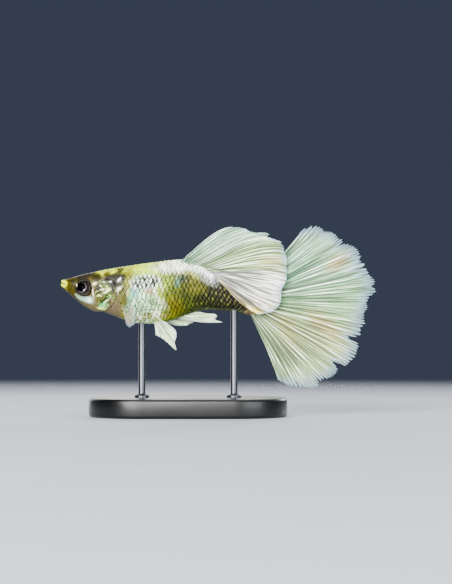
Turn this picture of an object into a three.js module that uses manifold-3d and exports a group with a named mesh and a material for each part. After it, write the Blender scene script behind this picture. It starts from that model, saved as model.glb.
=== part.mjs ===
// A male fancy guppy, life size, as a still display model held by two short rods on a flat base.
// Millimetres, +Z up. The fish faces -X and its left side faces -Y. Inside the "fish" frame x runs from the
// tip of the snout towards the tail, z is the height above that tip, and y is 0 on the midline.
// The exported group puts the origin at the middle of the underside of the stand's base.
import * as THREE from "three";
import { mergeVertices } from "three/addons/utils/BufferGeometryUtils.js";
import Module from "manifold-3d";

const wasm = await Module();
wasm.setup();

// Driving dimensions
const standardLength = 29.9; // snout to the end of the tail stalk
const gap = 0.3; // kept between neighbouring pieces
const finThickness = 0.5;
const marginThickness = 0.2;
const rayHeight = 0.2; // how much a ray thickens its fin, both faces together
const ridgeFoot = 0.24; // half the width of a ray, as a share of the space from ray to ray
const tailDrop = 16.9; // lowest fin tip, below the snout
const tailClearance = 1.1; // from that tip down to the base
const plate = { length: 31, width: 17, thickness: 3, corner: 8.4, bevel: 0.5 };
const plateMiddle = 19.8; // from the snout, between the rods
const rod = { radius: 0.55, collarRadius: 1.15, collarHeight: 0.7, front: 12.6, rear: 27.0 };

// Outlines of the body, as [x, value] in millimetres
const backLine = [
  [0.2, 0.12], [0.7, 0.38], [2.1, 0.86], [4.4, 1.45], [7.6, 2.05], [12.3, 2.78], [15.5, 3.2],
  [18.6, 3.5], [20.2, 3.28], [22.1, 2.5], [24, 1.6], [26.4, 0.38], [28.6, -0.5], [29.9, -0.92],
];
const bellyLine = [
  [0.2, -0.72], [0.7, -1.25], [1.4, -1.95], [2.6, -2.95], [4.1, -4.05], [5.4, -4.58], [6.8, -4.72],
  [9.2, -5.62], [11.4, -6.28], [13.9, -6.45], [16.5, -6.16], [19.3, -5.16], [21.4, -4.5],
  [23.9, -4.3], [27, -4.6], [29.9, -5.2],
];
const halfWidth = [
  [0.2, 0.58], [0.7, 0.92], [1.5, 1.24], [2.6, 1.56], [3.7, 1.78], [5.2, 2.04], [7, 2.3], [9.2, 2.48],
  [12, 2.52], [15, 2.36], [18, 2.02], [21, 1.6], [24, 1.2], [27, 0.84], [29.9, 0.52],
];
// The level of the widest place, as a share of the depth, and the power of the superellipse of the section
const widestAt = [[0.2, 0.6], [3.7, 0.6], [7, 0.55], [12, 0.5], [20, 0.48], [29.9, 0.5]];
const squareness = [[0.2, 2.1], [3.7, 2.35], [9, 2.15], [20, 2.05], [29.9, 2.3]];
const ringSides = 32;
const stations = { head: 0.46, trunk: 0.75 }; // spacing of the rings, before and behind the gill opening

// Where the body is parted
const gillOpening = 8.75;
const stalkStart = 23.9;

// Head
const eye = { x: 3.66, z: -1.02, radius: 1.14, depth: 0.85, sunk: 0.42, rimRadius: 0.17 };
const mouthCorner = new THREE.Vector3(1.05, 0.78, -0.42);
const mouthFront = { x: 0.14, z: -0.1 };
const lipRadius = 0.27;
const chin = { x: 2.0, z: -3.4 }; // where the seam of the lower jaw leaves the throat
const nostril = { x: 1.5, y: 0.62, radius: 0.15, depth: 0.3 };
const gillCover = {
  x: 6.9, z: -2.05, halfLength: 1.75, halfHeight: 2.5, lean: 0.16, raised: 0.16, sunk: 0.42,
};

// Value at x of a smooth curve through a table of [x, value].
function along(table, x) {
  const last = table.length - 1;
  if (x <= table[0][0]) return table[0][1];
  if (x >= table[last][0]) return table[last][1];
  const i = table.findIndex(([at]) => at > x) - 1;
  const slope = (k) => {
    const [a, b] = [Math.max(k - 1, 0), Math.min(k + 1, last)];
    return (table[b][1] - table[a][1]) / (table[b][0] - table[a][0]);
  };
  const [x0, y0] = table[i];
  const [x1, y1] = table[i + 1];
  const span = x1 - x0;
  const t = (x - x0) / span;
  const t2 = t * t;
  const t3 = t2 * t;
  return (2 * t3 - 3 * t2 + 1) * y0 + (t3 - 2 * t2 + t) * span * slope(i)
    + (3 * t2 - 2 * t3) * y1 + (t3 - t2) * span * slope(i + 1);
}

// The body's section at x, grown outwards by grow.
function section(x, grow = 0) {
  const top = along(backLine, x) + grow;
  const bottom = along(bellyLine, x) - grow;
  const level = bottom + (top - bottom) * along(widestAt, x);
  return { top, bottom, level, wide: along(halfWidth, x) + grow, power: along(squareness, x) };
}

function bodyPoint(x, turn, grow = 0) {
  const s = section(x, grow);
  const up = Math.cos(turn);
  const out = Math.sin(turn);
  const rise = up > 0 ? s.top - s.level : s.level - s.bottom;
  const bend = (v) => Math.sign(v) * Math.abs(v) ** (2 / s.power);
  return new THREE.Vector3(x, s.wide * bend(out), s.level + rise * bend(up));
}

// Half the body's width at a place in the side view, or 0 where the place lies outside it.
function flankAt(x, z, grow = 0) {
  const s = section(x, grow);
  const reach = z > s.level ? (z - s.level) / (s.top - s.level) : (s.level - z) / (s.level - s.bottom);
  return reach >= 1 ? 0 : s.wide * (1 - reach ** s.power) ** (1 / s.power);
}

// Solids from geometry and back
function solid(geometry) {
  const bare = geometry.clone();
  bare.deleteAttribute("normal");
  bare.deleteAttribute("uv");
  const merged = mergeVertices(bare, 1e-4);
  return new wasm.Manifold(new wasm.Mesh({
    numProp: 3,
    vertProperties: new Float32Array(merged.attributes.position.array),
    triVerts: new Uint32Array(merged.index.array),
  }));
}

function geometryOf(made) {
  const largest = made.decompose().sort((a, b) => b.volume() - a.volume())[0];
  const mesh = largest.getMesh();
  const places = new Float32Array(mesh.numVert * 3);
  for (let i = 0; i < mesh.numVert; i++)
    for (let k = 0; k < 3; k++) places[i * 3 + k] = mesh.vertProperties[i * mesh.numProp + k];
  const geometry = new THREE.BufferGeometry();
  geometry.setAttribute("position", new THREE.BufferAttribute(places, 3));
  geometry.setIndex(new THREE.BufferAttribute(mesh.triVerts, 1));
  geometry.computeVertexNormals();
  return geometry;
}

// A solid from points and faces, turned the right way out where the faces run the other way round.
function fromPoints(points, faces) {
  const places = points.flatMap((p) => p.toArray());
  const geometry = new THREE.BufferGeometry();
  geometry.setAttribute("position", new THREE.Float32BufferAttribute(places, 3));
  geometry.setIndex(faces);
  const made = solid(geometry);
  if (made.volume() > 0) return made;
  geometry.setIndex(faces.reverse());
  return solid(geometry);
}

function box(x0, x1, y0, y1, z0, z1) {
  const geometry = new THREE.BoxGeometry(x1 - x0, y1 - y0, z1 - z0);
  return solid(geometry.translate((x0 + x1) / 2, (y0 + y1) / 2, (z0 + z1) / 2));
}

function ball(centre, radii, around = 20, rings = 12) {
  const geometry = new THREE.SphereGeometry(1, around, rings).rotateX(Math.PI / 2);
  return solid(geometry.scale(...radii).translate(...centre));
}

function tube(points, radius, sides = 8, steps = 14) {
  const curve = new THREE.CatmullRomCurve3(points);
  const outline = new THREE.Shape(Array.from({ length: sides }, (_, i) => {
    const turn = (i / sides) * 2 * Math.PI;
    return new THREE.Vector2(Math.cos(turn) * radius, Math.sin(turn) * radius);
  }));
  return solid(new THREE.ExtrudeGeometry(outline, { extrudePath: curve, steps }));
}

// A prism across the fish, from its outline in the side view.
function prism(outline, y0, y1) {
  const shape = new THREE.Shape(outline.map(([x, z]) => new THREE.Vector2(x, z)));
  const geometry = new THREE.ExtrudeGeometry(shape, { depth: y1 - y0, bevelEnabled: false });
  return solid(geometry.rotateX(Math.PI / 2).translate(0, y1, 0));
}

// The whole body as one closed loft, with its rings from one x to another.
function body(grow = 0, from = 0.2, to = standardLength) {
  const places = [];
  for (let x = from; x < to - 1e-6; x += x < gillOpening ? stations.head : stations.trunk) places.push(x);
  if (to - places[places.length - 1] < 0.3) places.pop();
  places.push(to);
  const points = [];
  for (const x of places)
    for (let i = 0; i < ringSides; i++) points.push(bodyPoint(x, (i / ringSides) * 2 * Math.PI, grow));
  points.forEach((p, i) => {
    if (i < ringSides) p.x -= grow;
    if (i >= points.length - ringSides) p.x += grow;
  });
  const faces = [];
  for (let r = 0; r < places.length - 1; r++)
    for (let i = 0; i < ringSides; i++) {
      const j = (i + 1) % ringSides;
      const [ring, nextRing] = [r * ringSides, (r + 1) * ringSides];
      faces.push(ring + i, nextRing + i, ring + j, ring + j, nextRing + i, nextRing + j);
    }
  const middle = (first) => points.slice(first, first + ringSides)
    .reduce((sum, p) => sum.add(p), new THREE.Vector3()).divideScalar(ringSides);
  const lastRing = (places.length - 1) * ringSides;
  const [nose, end] = [points.length, points.length + 1];
  points.push(middle(0), middle(lastRing));
  for (let i = 0; i < ringSides; i++) {
    const j = (i + 1) % ringSides;
    faces.push(nose, i, j, end, lastRing + j, lastRing + i);
  }
  return fromPoints(points, faces);
}

// A fin: a sheet of rays. place(u, v) gives the middle of the sheet, with u across the rays from 0 to 1 and
// v along them from the root to the tip. Each ray is a ridge on both faces with a strip of plain sheet
// beside it, and the sheet thins to its margin.
function fin({ rays, rows, place, rootThickness = finThickness }) {
  const columns = [];
  for (let ray = 0; ray < rays; ray++) {
    columns.push({ at: ray, ridge: 1 });
    if (ray === rays - 1) break;
    columns.push({ at: ray + ridgeFoot, ridge: 0 }, { at: ray + 1 - ridgeFoot, ridge: 0 });
  }
  const step = 1e-3;
  const faces = [];
  const front = [];
  const back = [];
  for (const { at, ridge } of columns)
    for (let row = 0; row <= rows; row++) {
      const u = at / (rays - 1);
      const v = row / rows;
      const middle = place(u, v, ridge);
      const across = place(Math.min(u + step, 1), v, ridge).sub(place(Math.max(u - step, 0), v, ridge));
      const outward = place(u, Math.min(v + step, 1), ridge).sub(place(u, Math.max(v - step, 0), ridge));
      const normal = across.cross(outward).normalize();
      const sheet = THREE.MathUtils.lerp(rootThickness, finThickness, Math.min(v * 4, 1));
      const thinning = THREE.MathUtils.smoothstep(v, 0.72, 1);
      const raised = sheet + rayHeight * ridge * Math.min(v * 5, 1);
      const thick = THREE.MathUtils.lerp(raised, marginThickness, thinning);
      front.push(middle.clone().addScaledVector(normal, thick / 2));
      back.push(middle.clone().addScaledVector(normal, -thick / 2));
    }
  const points = [...front, ...back];
  const other = front.length;
  const stride = rows + 1;
  for (let c = 0; c < columns.length - 1; c++)
    for (let r = 0; r < rows; r++) {
      const [a, b] = [c * stride + r, (c + 1) * stride + r];
      faces.push(a, b, a + 1, b, b + 1, a + 1);
      faces.push(other + a, other + a + 1, other + b, other + b, other + a + 1, other + b + 1);
    }
  const wall = (a, b) => faces.push(a, other + a, b, b, other + a, other + b);
  const lastColumn = (columns.length - 1) * stride;
  for (let r = 0; r < rows; r++) {
    wall(r + 1, r);
    wall(lastColumn + r, lastColumn + r + 1);
  }
  for (let c = 0; c < columns.length - 1; c++) {
    wall(c * stride, (c + 1) * stride);
    wall((c + 1) * stride + rows, c * stride + rows);
  }
  return fromPoints(points, faces);
}

// A ray's place in the side view: a curve from root to tip that bows to one side of its chord.
function rayAt(root, tip, bow, v) {
  const chord = tip.clone().sub(root);
  const side = new THREE.Vector2(-chord.y, chord.x).multiplyScalar(bow * 4 * v * (1 - v));
  return root.clone().addScaledVector(chord, v).add(side);
}

const sideView = (table, u) => new THREE.Vector2(
  along(table.map(([at, x]) => [at, x]), u),
  along(table.map(([at, , z]) => [at, z]), u),
);

// How far out a hanging fin must lie to pass the body's flank, blended with the lean that it has anyway.
function clearOfFlank(x, z, lean, room = gap + finThickness / 2 + 0.22) {
  const flank = flankAt(Math.min(x, standardLength + 1), z, room);
  return (flank ** 4 + lean ** 4) ** 0.25;
}

// The same uneven lengths at each build: a share from -1 to 1 for each ray.
function uneven(ray, seed) {
  const wave = Math.sin(ray * 127.1 + seed * 311.7) * 43758.5453;
  return (wave - Math.floor(wave)) * 2 - 1;
}

// Tail fin: a wide fan of rays from the end of the stalk, with two splits low in its margin.
const tail = {
  rays: 25,
  rows: 12,
  centre: new THREE.Vector2(28.7, -3.1),
  up: 51.6,
  down: -67.2,
  rootTop: -1.05,
  rootBottom: -5.1,
  rootThickness: 0.86,
  pleats: 5.5,
  pleatDepth: 0.26,
};
const tailReach = [ // [degrees above the fish's axis, distance from the fan's centre]
  [-67.2, 14.4], [-60, 15.9], [-52, 17.3], [-42, 18.4], [-34, 19.2], [-27, 20.0], [-20, 19.7], [-12, 19.4],
  [-3, 19.9], [5, 21], [12, 20.9], [17, 20.3], [22, 20.1], [28, 19.5], [36, 18.5], [43, 17.4], [48, 16.3],
  [51.6, 14.7],
];
const tailSplits = [[-34.2, 1.5], [-18.8, 1.6], [-47, 0.5], [31, 0.6], [20, 0.5]]; // [degrees, depth]
const splitWidth = 1.5; // degrees
function tailPlace(u, v, ridge) {
  const degrees = THREE.MathUtils.lerp(tail.down, tail.up, u);
  const split = tailSplits
    .map(([at, depth]) => depth * Math.exp(-(((degrees - at) / splitWidth) ** 2)))
    .reduce((sum, depth) => sum + depth);
  const ragged = 0.45 * uneven(Math.round(u * (tail.rays - 1)), 3) - (1 - ridge) * 0.55;
  const reach = along(tailReach, degrees) - split + ragged;
  const turn = THREE.MathUtils.degToRad(degrees);
  const tip = new THREE.Vector2(Math.cos(turn), Math.sin(turn)).multiplyScalar(reach).add(tail.centre);
  const root = new THREE.Vector2(standardLength + gap, THREE.MathUtils.lerp(tail.rootBottom, tail.rootTop, u));
  const spot = rayAt(root, tip, 0.035 * (0.45 - u), v);
  const pleat = tail.pleatDepth * Math.sin(2 * Math.PI * tail.pleats * u + 0.6) * Math.min(v * 3, 1);
  const sway = 0.9 * v * v * Math.sin(Math.PI * (1.15 * u + 0.1));
  return new THREE.Vector3(spot.x, pleat + sway, spot.y);
}

// Back fin: it stands on the ridge of the back, sweeps to the rear and falls over the stalk's left side.
const dorsal = { rays: 13, rows: 11, sunk: 0.75 };
const dorsalRoot = [[0, 18.6, 3.4], [0.5, 21.1, 2.85], [1, 23.3, 1.85]]; // [share, x, z] along the ridge
const dorsalTip = [
  [0, 26.2, 8.8], [0.12, 28.6, 8.5], [0.24, 31.2, 7.75], [0.36, 33.2, 6.9], [0.48, 34.8, 5.75], [0.6, 35.3, 3.9],
  [0.72, 35.2, 1.6], [0.82, 34.8, -0.9], [0.91, 33.9, -3.3], [1, 30.9, -5.2],
];
const dorsalBow = [[0, 0.13], [0.25, 0.1], [0.5, 0.085], [0.75, 0.04], [1, 0.02]];
const dorsalLean = [[0, 0.25], [0.3, 0.6], [0.5, 1.0], [0.7, 1.5], [0.85, 1.85], [1, 1.9]];
function dorsalPlace(u, v, ridge) {
  const root = sideView(dorsalRoot, u).add(new THREE.Vector2(0.25, -dorsal.sunk));
  const tip = sideView(dorsalTip, u);
  const chord = tip.clone().sub(root);
  const ray = Math.round(u * (dorsal.rays - 1));
  const length = 1 + 0.012 * uneven(ray, 8) * (ray > 0 ? 1 : 0) - (1 - ridge) * 0.03;
  const spot = rayAt(root, root.clone().addScaledVector(chord, length), along(dorsalBow, u), v);
  const lean = along(dorsalLean, u) * (1 - Math.exp(-v / 0.16)) * (1 - 0.25 * v);
  const ripple = 0.16 * Math.sin(2 * Math.PI * 3.5 * u) * Math.min(v * 2, 1);
  return new THREE.Vector3(spot.x, -clearOfFlank(spot.x, spot.y, lean) + ripple, spot.y);
}

// Belly fins: the left one hangs, the right one is swept back along the flank.
const hangingTip = [
  [0, 14.8, -8.5], [0.2, 15.6, -8.85], [0.42, 16.8, -9.7], [0.6, 17.95, -10.8], [0.7, 18.05, -10.0],
  [0.8, 17.95, -8.9], [0.9, 17.95, -7.9], [1, 17.2, -6.85],
];
const sweptTip = [
  [0, 17.6, -6.75], [0.25, 18.9, -6.85], [0.5, 20.1, -6.65], [0.75, 21.1, -6.05], [1, 20.5, -5.45],
];
const bellyFin = { rays: 6, rows: 8, rootX: 14.4, rootZ: -5.75, rootSpan: 0.75, rootY: 0.62 };
function bellyFinPlace({ tips, side, spread, alongFlank }) {
  return (u, v, ridge) => {
    const root = new THREE.Vector2(bellyFin.rootX + bellyFin.rootSpan * u, bellyFin.rootZ);
    const tip = sideView(tips, u).sub(root).multiplyScalar(1 - (1 - ridge) * 0.03).add(root);
    const spot = rayAt(root, tip, 0.03, v);
    const lean = bellyFin.rootY + spread * v;
    const out = alongFlank ? clearOfFlank(spot.x, spot.y, lean) : lean;
    return new THREE.Vector3(spot.x, side * out, spot.y);
  };
}

// Gonopodium: the male's narrow anal fin, along the belly and free at its end.
const gonopodium = { rays: 7, rows: 11 };
const gonopodiumRoot = [[0, 17.4, -5.35], [1, 20.0, -4.5]];
const gonopodiumTip = [
  [0, 25.5, -6.3], [0.17, 24.1, -5.8], [0.34, 24.5, -5.35], [0.5, 24.2, -5.0], [0.67, 22.9, -4.88],
  [0.83, 22.2, -4.76], [1, 21.6, -4.66],
];
function gonopodiumPlace(u, v, ridge) {
  const root = sideView(gonopodiumRoot, u);
  const tip = sideView(gonopodiumTip, u).sub(root).multiplyScalar(1 - (1 - ridge) * 0.02).add(root);
  const spot = rayAt(root, tip, -0.05 * (1 - u), v);
  return new THREE.Vector3(spot.x, 0.05 - 0.15 * v, spot.y);
}

// Breast fins: clear fans that grow behind the gill covers and paddle down and outwards.
const breastFin = {
  rays: 8, rows: 6, length: 6.6, rootSpan: 1.0, rootX: 9.5, rootZ: -1.2, rootY: 2.3, fan: 32,
};
function breastFinPlace(side) {
  const lengthwise = new THREE.Vector3(0.24, 0.44, -0.86).normalize();
  const crosswise = new THREE.Vector3(0.36, 0.86, 0.5);
  crosswise.addScaledVector(lengthwise, -crosswise.dot(lengthwise)).normalize();
  const rootLine = new THREE.Vector3(0.55, 0, 0.83);
  return (u, v, ridge) => {
    const turn = THREE.MathUtils.degToRad(breastFin.fan * (u - 0.5));
    const rounding = 1 - 0.5 * (2 * u - 1) ** 2 * 0.35 - (1 - ridge) * 0.03;
    const reach = breastFin.length * rounding * v;
    const place = new THREE.Vector3(breastFin.rootX, breastFin.rootY, breastFin.rootZ);
    place.addScaledVector(lengthwise, reach * Math.cos(turn));
    place.addScaledVector(crosswise, reach * Math.sin(turn));
    place.addScaledVector(rootLine, breastFin.rootSpan * (u - 0.5));
    place.y *= side;
    return place;
  };
}

// Parts of the head
const wholeBody = body();
const bodyWithRoom = body(gap);

function lip(above) {
  const rise = above ? lipRadius * 0.75 : -lipRadius * 0.95;
  const back = above ? 0 : 0.06;
  return tube([
    new THREE.Vector3(mouthCorner.x, mouthCorner.y, mouthCorner.z + rise * 0.4),
    new THREE.Vector3(0.55, 0.66, -0.26 + rise * 0.9),
    new THREE.Vector3(mouthFront.x + lipRadius * 0.75 + back, 0.3, mouthFront.z + rise),
    new THREE.Vector3(mouthFront.x + lipRadius * 0.75 + back, -0.3, mouthFront.z + rise),
    new THREE.Vector3(0.55, -0.66, -0.26 + rise * 0.9),
    new THREE.Vector3(mouthCorner.x, -mouthCorner.y, mouthCorner.z + rise * 0.4),
  ], lipRadius);
}

function lowerJawRegion(room) {
  return prism([
    [-1, mouthFront.z - 0.02 + room], [mouthFront.x, mouthFront.z - 0.02 + room],
    [mouthCorner.x + room, mouthCorner.z + room], [chin.x + room, chin.z], [-1, chin.z],
  ], -3, 3);
}

const eyeSurface = along(halfWidth, eye.x);
const eyeCentre = (side) => [eye.x, side * (eyeSurface - eye.sunk), eye.z];
const eyeBall = (side, room) => ball(
  eyeCentre(side),
  [eye.radius + room, eye.depth + room, eye.radius + room],
  room > 0 ? 18 : 20,
  room > 0 ? 10 : 12,
);

// The rim of skin round an eye, a ring that lies on the side of the head.
function eyeRim(side) {
  const [steps, sides] = [22, 6];
  const distance = eye.radius + gap + eye.rimRadius * 0.6;
  const points = [];
  const faces = [];
  for (let i = 0; i < steps; i++) {
    const turn = (i / steps) * 2 * Math.PI;
    const away = new THREE.Vector3(Math.cos(turn), 0, Math.sin(turn));
    const middle = new THREE.Vector3(eye.x, 0, eye.z).addScaledVector(away, distance);
    middle.y = side * (flankAt(middle.x, middle.z) - 0.03);
    for (let k = 0; k < sides; k++) {
      const lap = (k / sides) * 2 * Math.PI;
      const spot = middle.clone().addScaledVector(away, Math.cos(lap) * eye.rimRadius);
      spot.y += Math.sin(lap) * eye.rimRadius;
      points.push(spot);
      const [here, next] = [i * sides, ((i + 1) % steps) * sides];
      const after = (k + 1) % sides;
      faces.push(here + k, next + k, here + after, here + after, next + k, next + after);
    }
  }
  return fromPoints(points, faces);
}

function gillOutline(room) {
  const steps = 26;
  return Array.from({ length: steps }, (_, i) => {
    const turn = (i / steps) * 2 * Math.PI;
    const back = Math.cos(turn) * (gillCover.halfLength + room);
    const high = Math.sin(turn) * (gillCover.halfHeight + room);
    return [gillCover.x + back + high * gillCover.lean, gillCover.z + high];
  });
}

function gillPlate(side) {
  const [near, far] = side < 0 ? [-4, -0.6] : [0.6, 4];
  const shell = body(gillCover.raised, 3.2, 10.2).subtract(body(-gillCover.sunk, 2.8, 10.6));
  return shell.intersect(prism(gillOutline(0), near, far));
}

function gillRecess(side) {
  const [near, far] = side < 0 ? [-4, -0.6] : [0.6, 4];
  return prism(gillOutline(gap), near, far).subtract(body(-gillCover.sunk - gap, 2.8, 10.6));
}

function head() {
  const behind = box(gillOpening, 40, -9, 9, -12, 12);
  let made = wholeBody.subtract(behind).add(lip(true)).subtract(lowerJawRegion(gap / 2));
  for (const side of [-1, 1]) {
    made = made.add(eyeRim(side)).subtract(gillRecess(side)).subtract(eyeBall(side, gap));
    const top = bodyPoint(nostril.x, Math.asin(nostril.y / along(halfWidth, nostril.x)));
    const size = [nostril.radius, nostril.radius, nostril.depth];
    made = made.subtract(ball([nostril.x, side * nostril.y, top.z], size, 8, 6));
  }
  return made;
}

function lowerJaw() {
  return wholeBody.add(lip(false)).intersect(lowerJawRegion(-gap / 2));
}

const slice = (from, to) => wholeBody.intersect(box(from, to, -9, 9, -12, 12));

// Stand, built in the fish's frame: the base lies below the lowest fin tip.
const plateTop = -tailDrop - tailClearance;

function standPlate() {
  const [hx, hy, c, b] = [plate.length / 2, plate.width / 2, plate.corner, plate.bevel];
  const outline = new THREE.Shape();
  outline.absarc(hx - c, 0 + (hy - c), c - b, 0, Math.PI / 2);
  outline.absarc(-hx + c, hy - c, c - b, Math.PI / 2, Math.PI);
  outline.absarc(-hx + c, -hy + c, c - b, Math.PI, 1.5 * Math.PI);
  outline.absarc(hx - c, -hy + c, c - b, 1.5 * Math.PI, 2 * Math.PI);
  const geometry = new THREE.ExtrudeGeometry(outline, {
    depth: plate.thickness - 2 * b, bevelSize: b, bevelThickness: b, bevelSegments: 2, curveSegments: 6,
  });
  return solid(geometry.translate(plateMiddle, 0, plateTop - plate.thickness + b));
}

function standRod(x) {
  const foot = plateTop + gap;
  const head = section(x).bottom + 1.2;
  const profile = [
    [0, foot], [rod.collarRadius, foot], [rod.collarRadius, foot + rod.collarHeight * 0.5],
    [rod.radius, foot + rod.collarHeight], [rod.radius, head], [0, head],
  ].map(([r, z]) => new THREE.Vector2(r, z));
  const geometry = new THREE.LatheGeometry(profile, 14).rotateX(Math.PI / 2).translate(x, 0, 0);
  return solid(geometry).subtract(bodyWithRoom);
}

// Colours
function material(color, roughness, metalness = 0) {
  return new THREE.MeshStandardMaterial({ color, roughness, metalness });
}
const finMaterial = material(0xe2ead8, 0.45);
const headMaterial = material(0xb8b184, 0.4);
const trunkMaterial = material(0xc9cf9a, 0.38);
const stalkMaterial = material(0x5d5a2c, 0.42);
const gillMaterial = material(0xc6cfae, 0.3);
const eyeMaterial = material(0x15120f, 0.12);
const clearFinMaterial = material(0xdfe2dc, 0.3);
const plateMaterial = material(0x2b2a2c, 0.35);
const steelMaterial = material(0xb9bcc0, 0.3, 1);

const fish = new THREE.Group();
const fromRoot = (sheet) => sheet.subtract(bodyWithRoom);
function place(name, made, surface) {
  const mesh = new THREE.Mesh(geometryOf(made), surface);
  mesh.name = name;
  fish.add(mesh);
}

place("head", head(), headMaterial);
place("lower_jaw", lowerJaw(), headMaterial);
place("eye_left", eyeBall(-1, 0), eyeMaterial);
place("eye_right", eyeBall(1, 0), eyeMaterial);
place("gill_cover_left", gillPlate(-1), gillMaterial);
place("gill_cover_right", gillPlate(1), gillMaterial);
place("trunk", slice(gillOpening + gap, stalkStart), trunkMaterial);
place("tail_stalk", slice(stalkStart + gap, 40), stalkMaterial);
place("tail_fin", fin({ ...tail, place: tailPlace }), finMaterial);
place("back_fin", fromRoot(fin({ ...dorsal, place: dorsalPlace })), finMaterial);
place("gonopodium", fromRoot(fin({ ...gonopodium, place: gonopodiumPlace })), finMaterial);
const hanging = bellyFinPlace({ tips: hangingTip, side: -1, spread: 1.1, alongFlank: false });
const swept = bellyFinPlace({ tips: sweptTip, side: 1, spread: 0.75, alongFlank: true });
place("belly_fin_left", fromRoot(fin({ ...bellyFin, place: hanging })), finMaterial);
place("belly_fin_right", fromRoot(fin({ ...bellyFin, place: swept })), finMaterial);
for (const [name, side] of [["breast_fin_left", -1], ["breast_fin_right", 1]])
  place(name, fromRoot(fin({ ...breastFin, place: breastFinPlace(side) })), clearFinMaterial);
place("stand_base", standPlate(), plateMaterial);
place("stand_rod_front", standRod(rod.front), steelMaterial);
place("stand_rod_rear", standRod(rod.rear), steelMaterial);

fish.position.set(-plateMiddle, 0, plate.thickness - plateTop);
const model = new THREE.Group();
model.add(fish);

export default model;
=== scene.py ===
import math

import bmesh
import bpy
import numpy as np
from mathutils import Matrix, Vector


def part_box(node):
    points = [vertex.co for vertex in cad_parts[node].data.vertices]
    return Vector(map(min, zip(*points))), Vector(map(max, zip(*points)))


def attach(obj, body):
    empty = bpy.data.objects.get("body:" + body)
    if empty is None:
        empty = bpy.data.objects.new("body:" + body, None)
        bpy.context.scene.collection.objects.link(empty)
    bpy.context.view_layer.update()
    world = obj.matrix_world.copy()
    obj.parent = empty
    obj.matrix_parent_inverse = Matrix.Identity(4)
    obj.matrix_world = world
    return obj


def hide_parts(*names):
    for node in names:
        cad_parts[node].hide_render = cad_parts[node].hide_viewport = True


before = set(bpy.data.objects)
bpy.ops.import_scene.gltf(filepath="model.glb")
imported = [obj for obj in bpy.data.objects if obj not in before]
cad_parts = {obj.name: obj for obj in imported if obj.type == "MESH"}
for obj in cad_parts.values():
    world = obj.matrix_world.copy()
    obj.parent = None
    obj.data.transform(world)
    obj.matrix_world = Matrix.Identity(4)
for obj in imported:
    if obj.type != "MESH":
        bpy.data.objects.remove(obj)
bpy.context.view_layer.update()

# Shapes are worked out in millimetres in the fish's own frame: x from the tip of the snout to the tail,
# z above that tip and y 0 on the midline, with the left side at -y. inFrame turns them into metres in the
# frame of the model.
mm = 0.001
fishPlace = {
    "snoutX": -19.8,  # from the middle of the stand's base
    "snoutZ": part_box("stand_base")[1].z / mm + 18.0,  # above the floor
}


def inFrame(spots):
    return (np.asarray(spots, float) + (fishPlace["snoutX"], 0, fishPlace["snoutZ"])) * mm


def along(table, x):  # a smooth curve through (x, value) pairs
    xs, ys = np.array(table, float).T
    slope = np.gradient(ys)
    slope[1:-1] = (ys[2:] - ys[:-2]) / (xs[2:] - xs[:-2])
    slope[0] = (ys[1] - ys[0]) / (xs[1] - xs[0])
    slope[-1] = (ys[-1] - ys[-2]) / (xs[-1] - xs[-2])
    x = np.clip(x, xs[0], xs[-1])
    i = np.clip(np.searchsorted(xs, x, side="right") - 1, 0, len(xs) - 2)
    span = xs[i + 1] - xs[i]
    t = (x - xs[i]) / span
    rise = (3 - 2 * t) * t * t
    return (ys[i] * (1 - rise) + ys[i + 1] * rise
            + span * t * (1 - t) * (slope[i] * (1 - t) - slope[i + 1] * t))


def smoothStep(low, high, x):
    t = np.clip((x - low) / (high - low), 0, 1)
    return t * t * (3 - 2 * t)


def hump(x, width):
    return np.exp(-((x / width) ** 2))


def unit(vectors):
    return vectors / np.maximum(np.linalg.norm(vectors, axis=-1, keepdims=True), 1e-12)


# Outline of the body: back, belly, half width, level of the widest place and power of the superellipse
bodyShape = {
    "back": [
        (0.2, 0.12), (0.7, 0.38), (2.1, 0.86), (4.4, 1.45), (7.6, 2.05), (12.3, 2.78), (15.5, 3.2),
        (18.6, 3.5), (20.2, 3.28), (22.1, 2.5), (24, 1.6), (26.4, 0.38), (28.6, -0.5), (29.9, -0.92),
        (31.2, -1.15),
    ],
    "belly": [
        (0.2, -0.72), (0.7, -1.25), (1.4, -1.95), (2.6, -2.95), (4.1, -4.05), (5.4, -4.58), (6.8, -4.72),
        (9.2, -5.62), (11.4, -6.28), (13.9, -6.45), (16.5, -6.16), (19.3, -5.16), (21.4, -4.5), (23.9, -4.3),
        (27, -4.6), (29.9, -5.2), (31.2, -5.25),
    ],
    "halfWidth": [
        (0.2, 0.58), (0.7, 0.92), (1.5, 1.24), (2.6, 1.56), (3.7, 1.78), (5.2, 2.04), (7, 2.3), (9.2, 2.48),
        (12, 2.52), (15, 2.36), (18, 2.02), (21, 1.6), (24, 1.2), (27, 0.84), (29.9, 0.5), (31.2, 0.12),
    ],
    "widestAt": [(0.2, 0.6), (3.7, 0.6), (7, 0.55), (12, 0.5), (20, 0.48), (29.9, 0.5)],
    "squareness": [(0.2, 2.1), (3.7, 2.35), (9, 2.15), (20, 2.05), (29.9, 2.3)],
}


def bodyPoint(x, turn):  # turn is 0 on the back and a quarter turn on the right side
    top, bottom = along(bodyShape["back"], x), along(bodyShape["belly"], x)
    level = bottom + (top - bottom) * along(bodyShape["widestAt"], x)
    power = 2 / along(bodyShape["squareness"], x)
    up, out = np.cos(turn), np.sin(turn)
    rise = np.where(up > 0, top - level, level - bottom)
    y = along(bodyShape["halfWidth"], x) * np.sign(out) * np.abs(out) ** power
    z = level + rise * np.sign(up) * np.abs(up) ** power
    return np.stack([x + 0 * y, y, z], axis=-1)


def bodyNormal(x, turn):
    step = 0.01
    lengthwise = bodyPoint(x + step, turn) - bodyPoint(x - step, turn)
    around = bodyPoint(x, turn + step) - bodyPoint(x, turn - step)
    return unit(np.cross(lengthwise, around))


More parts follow.
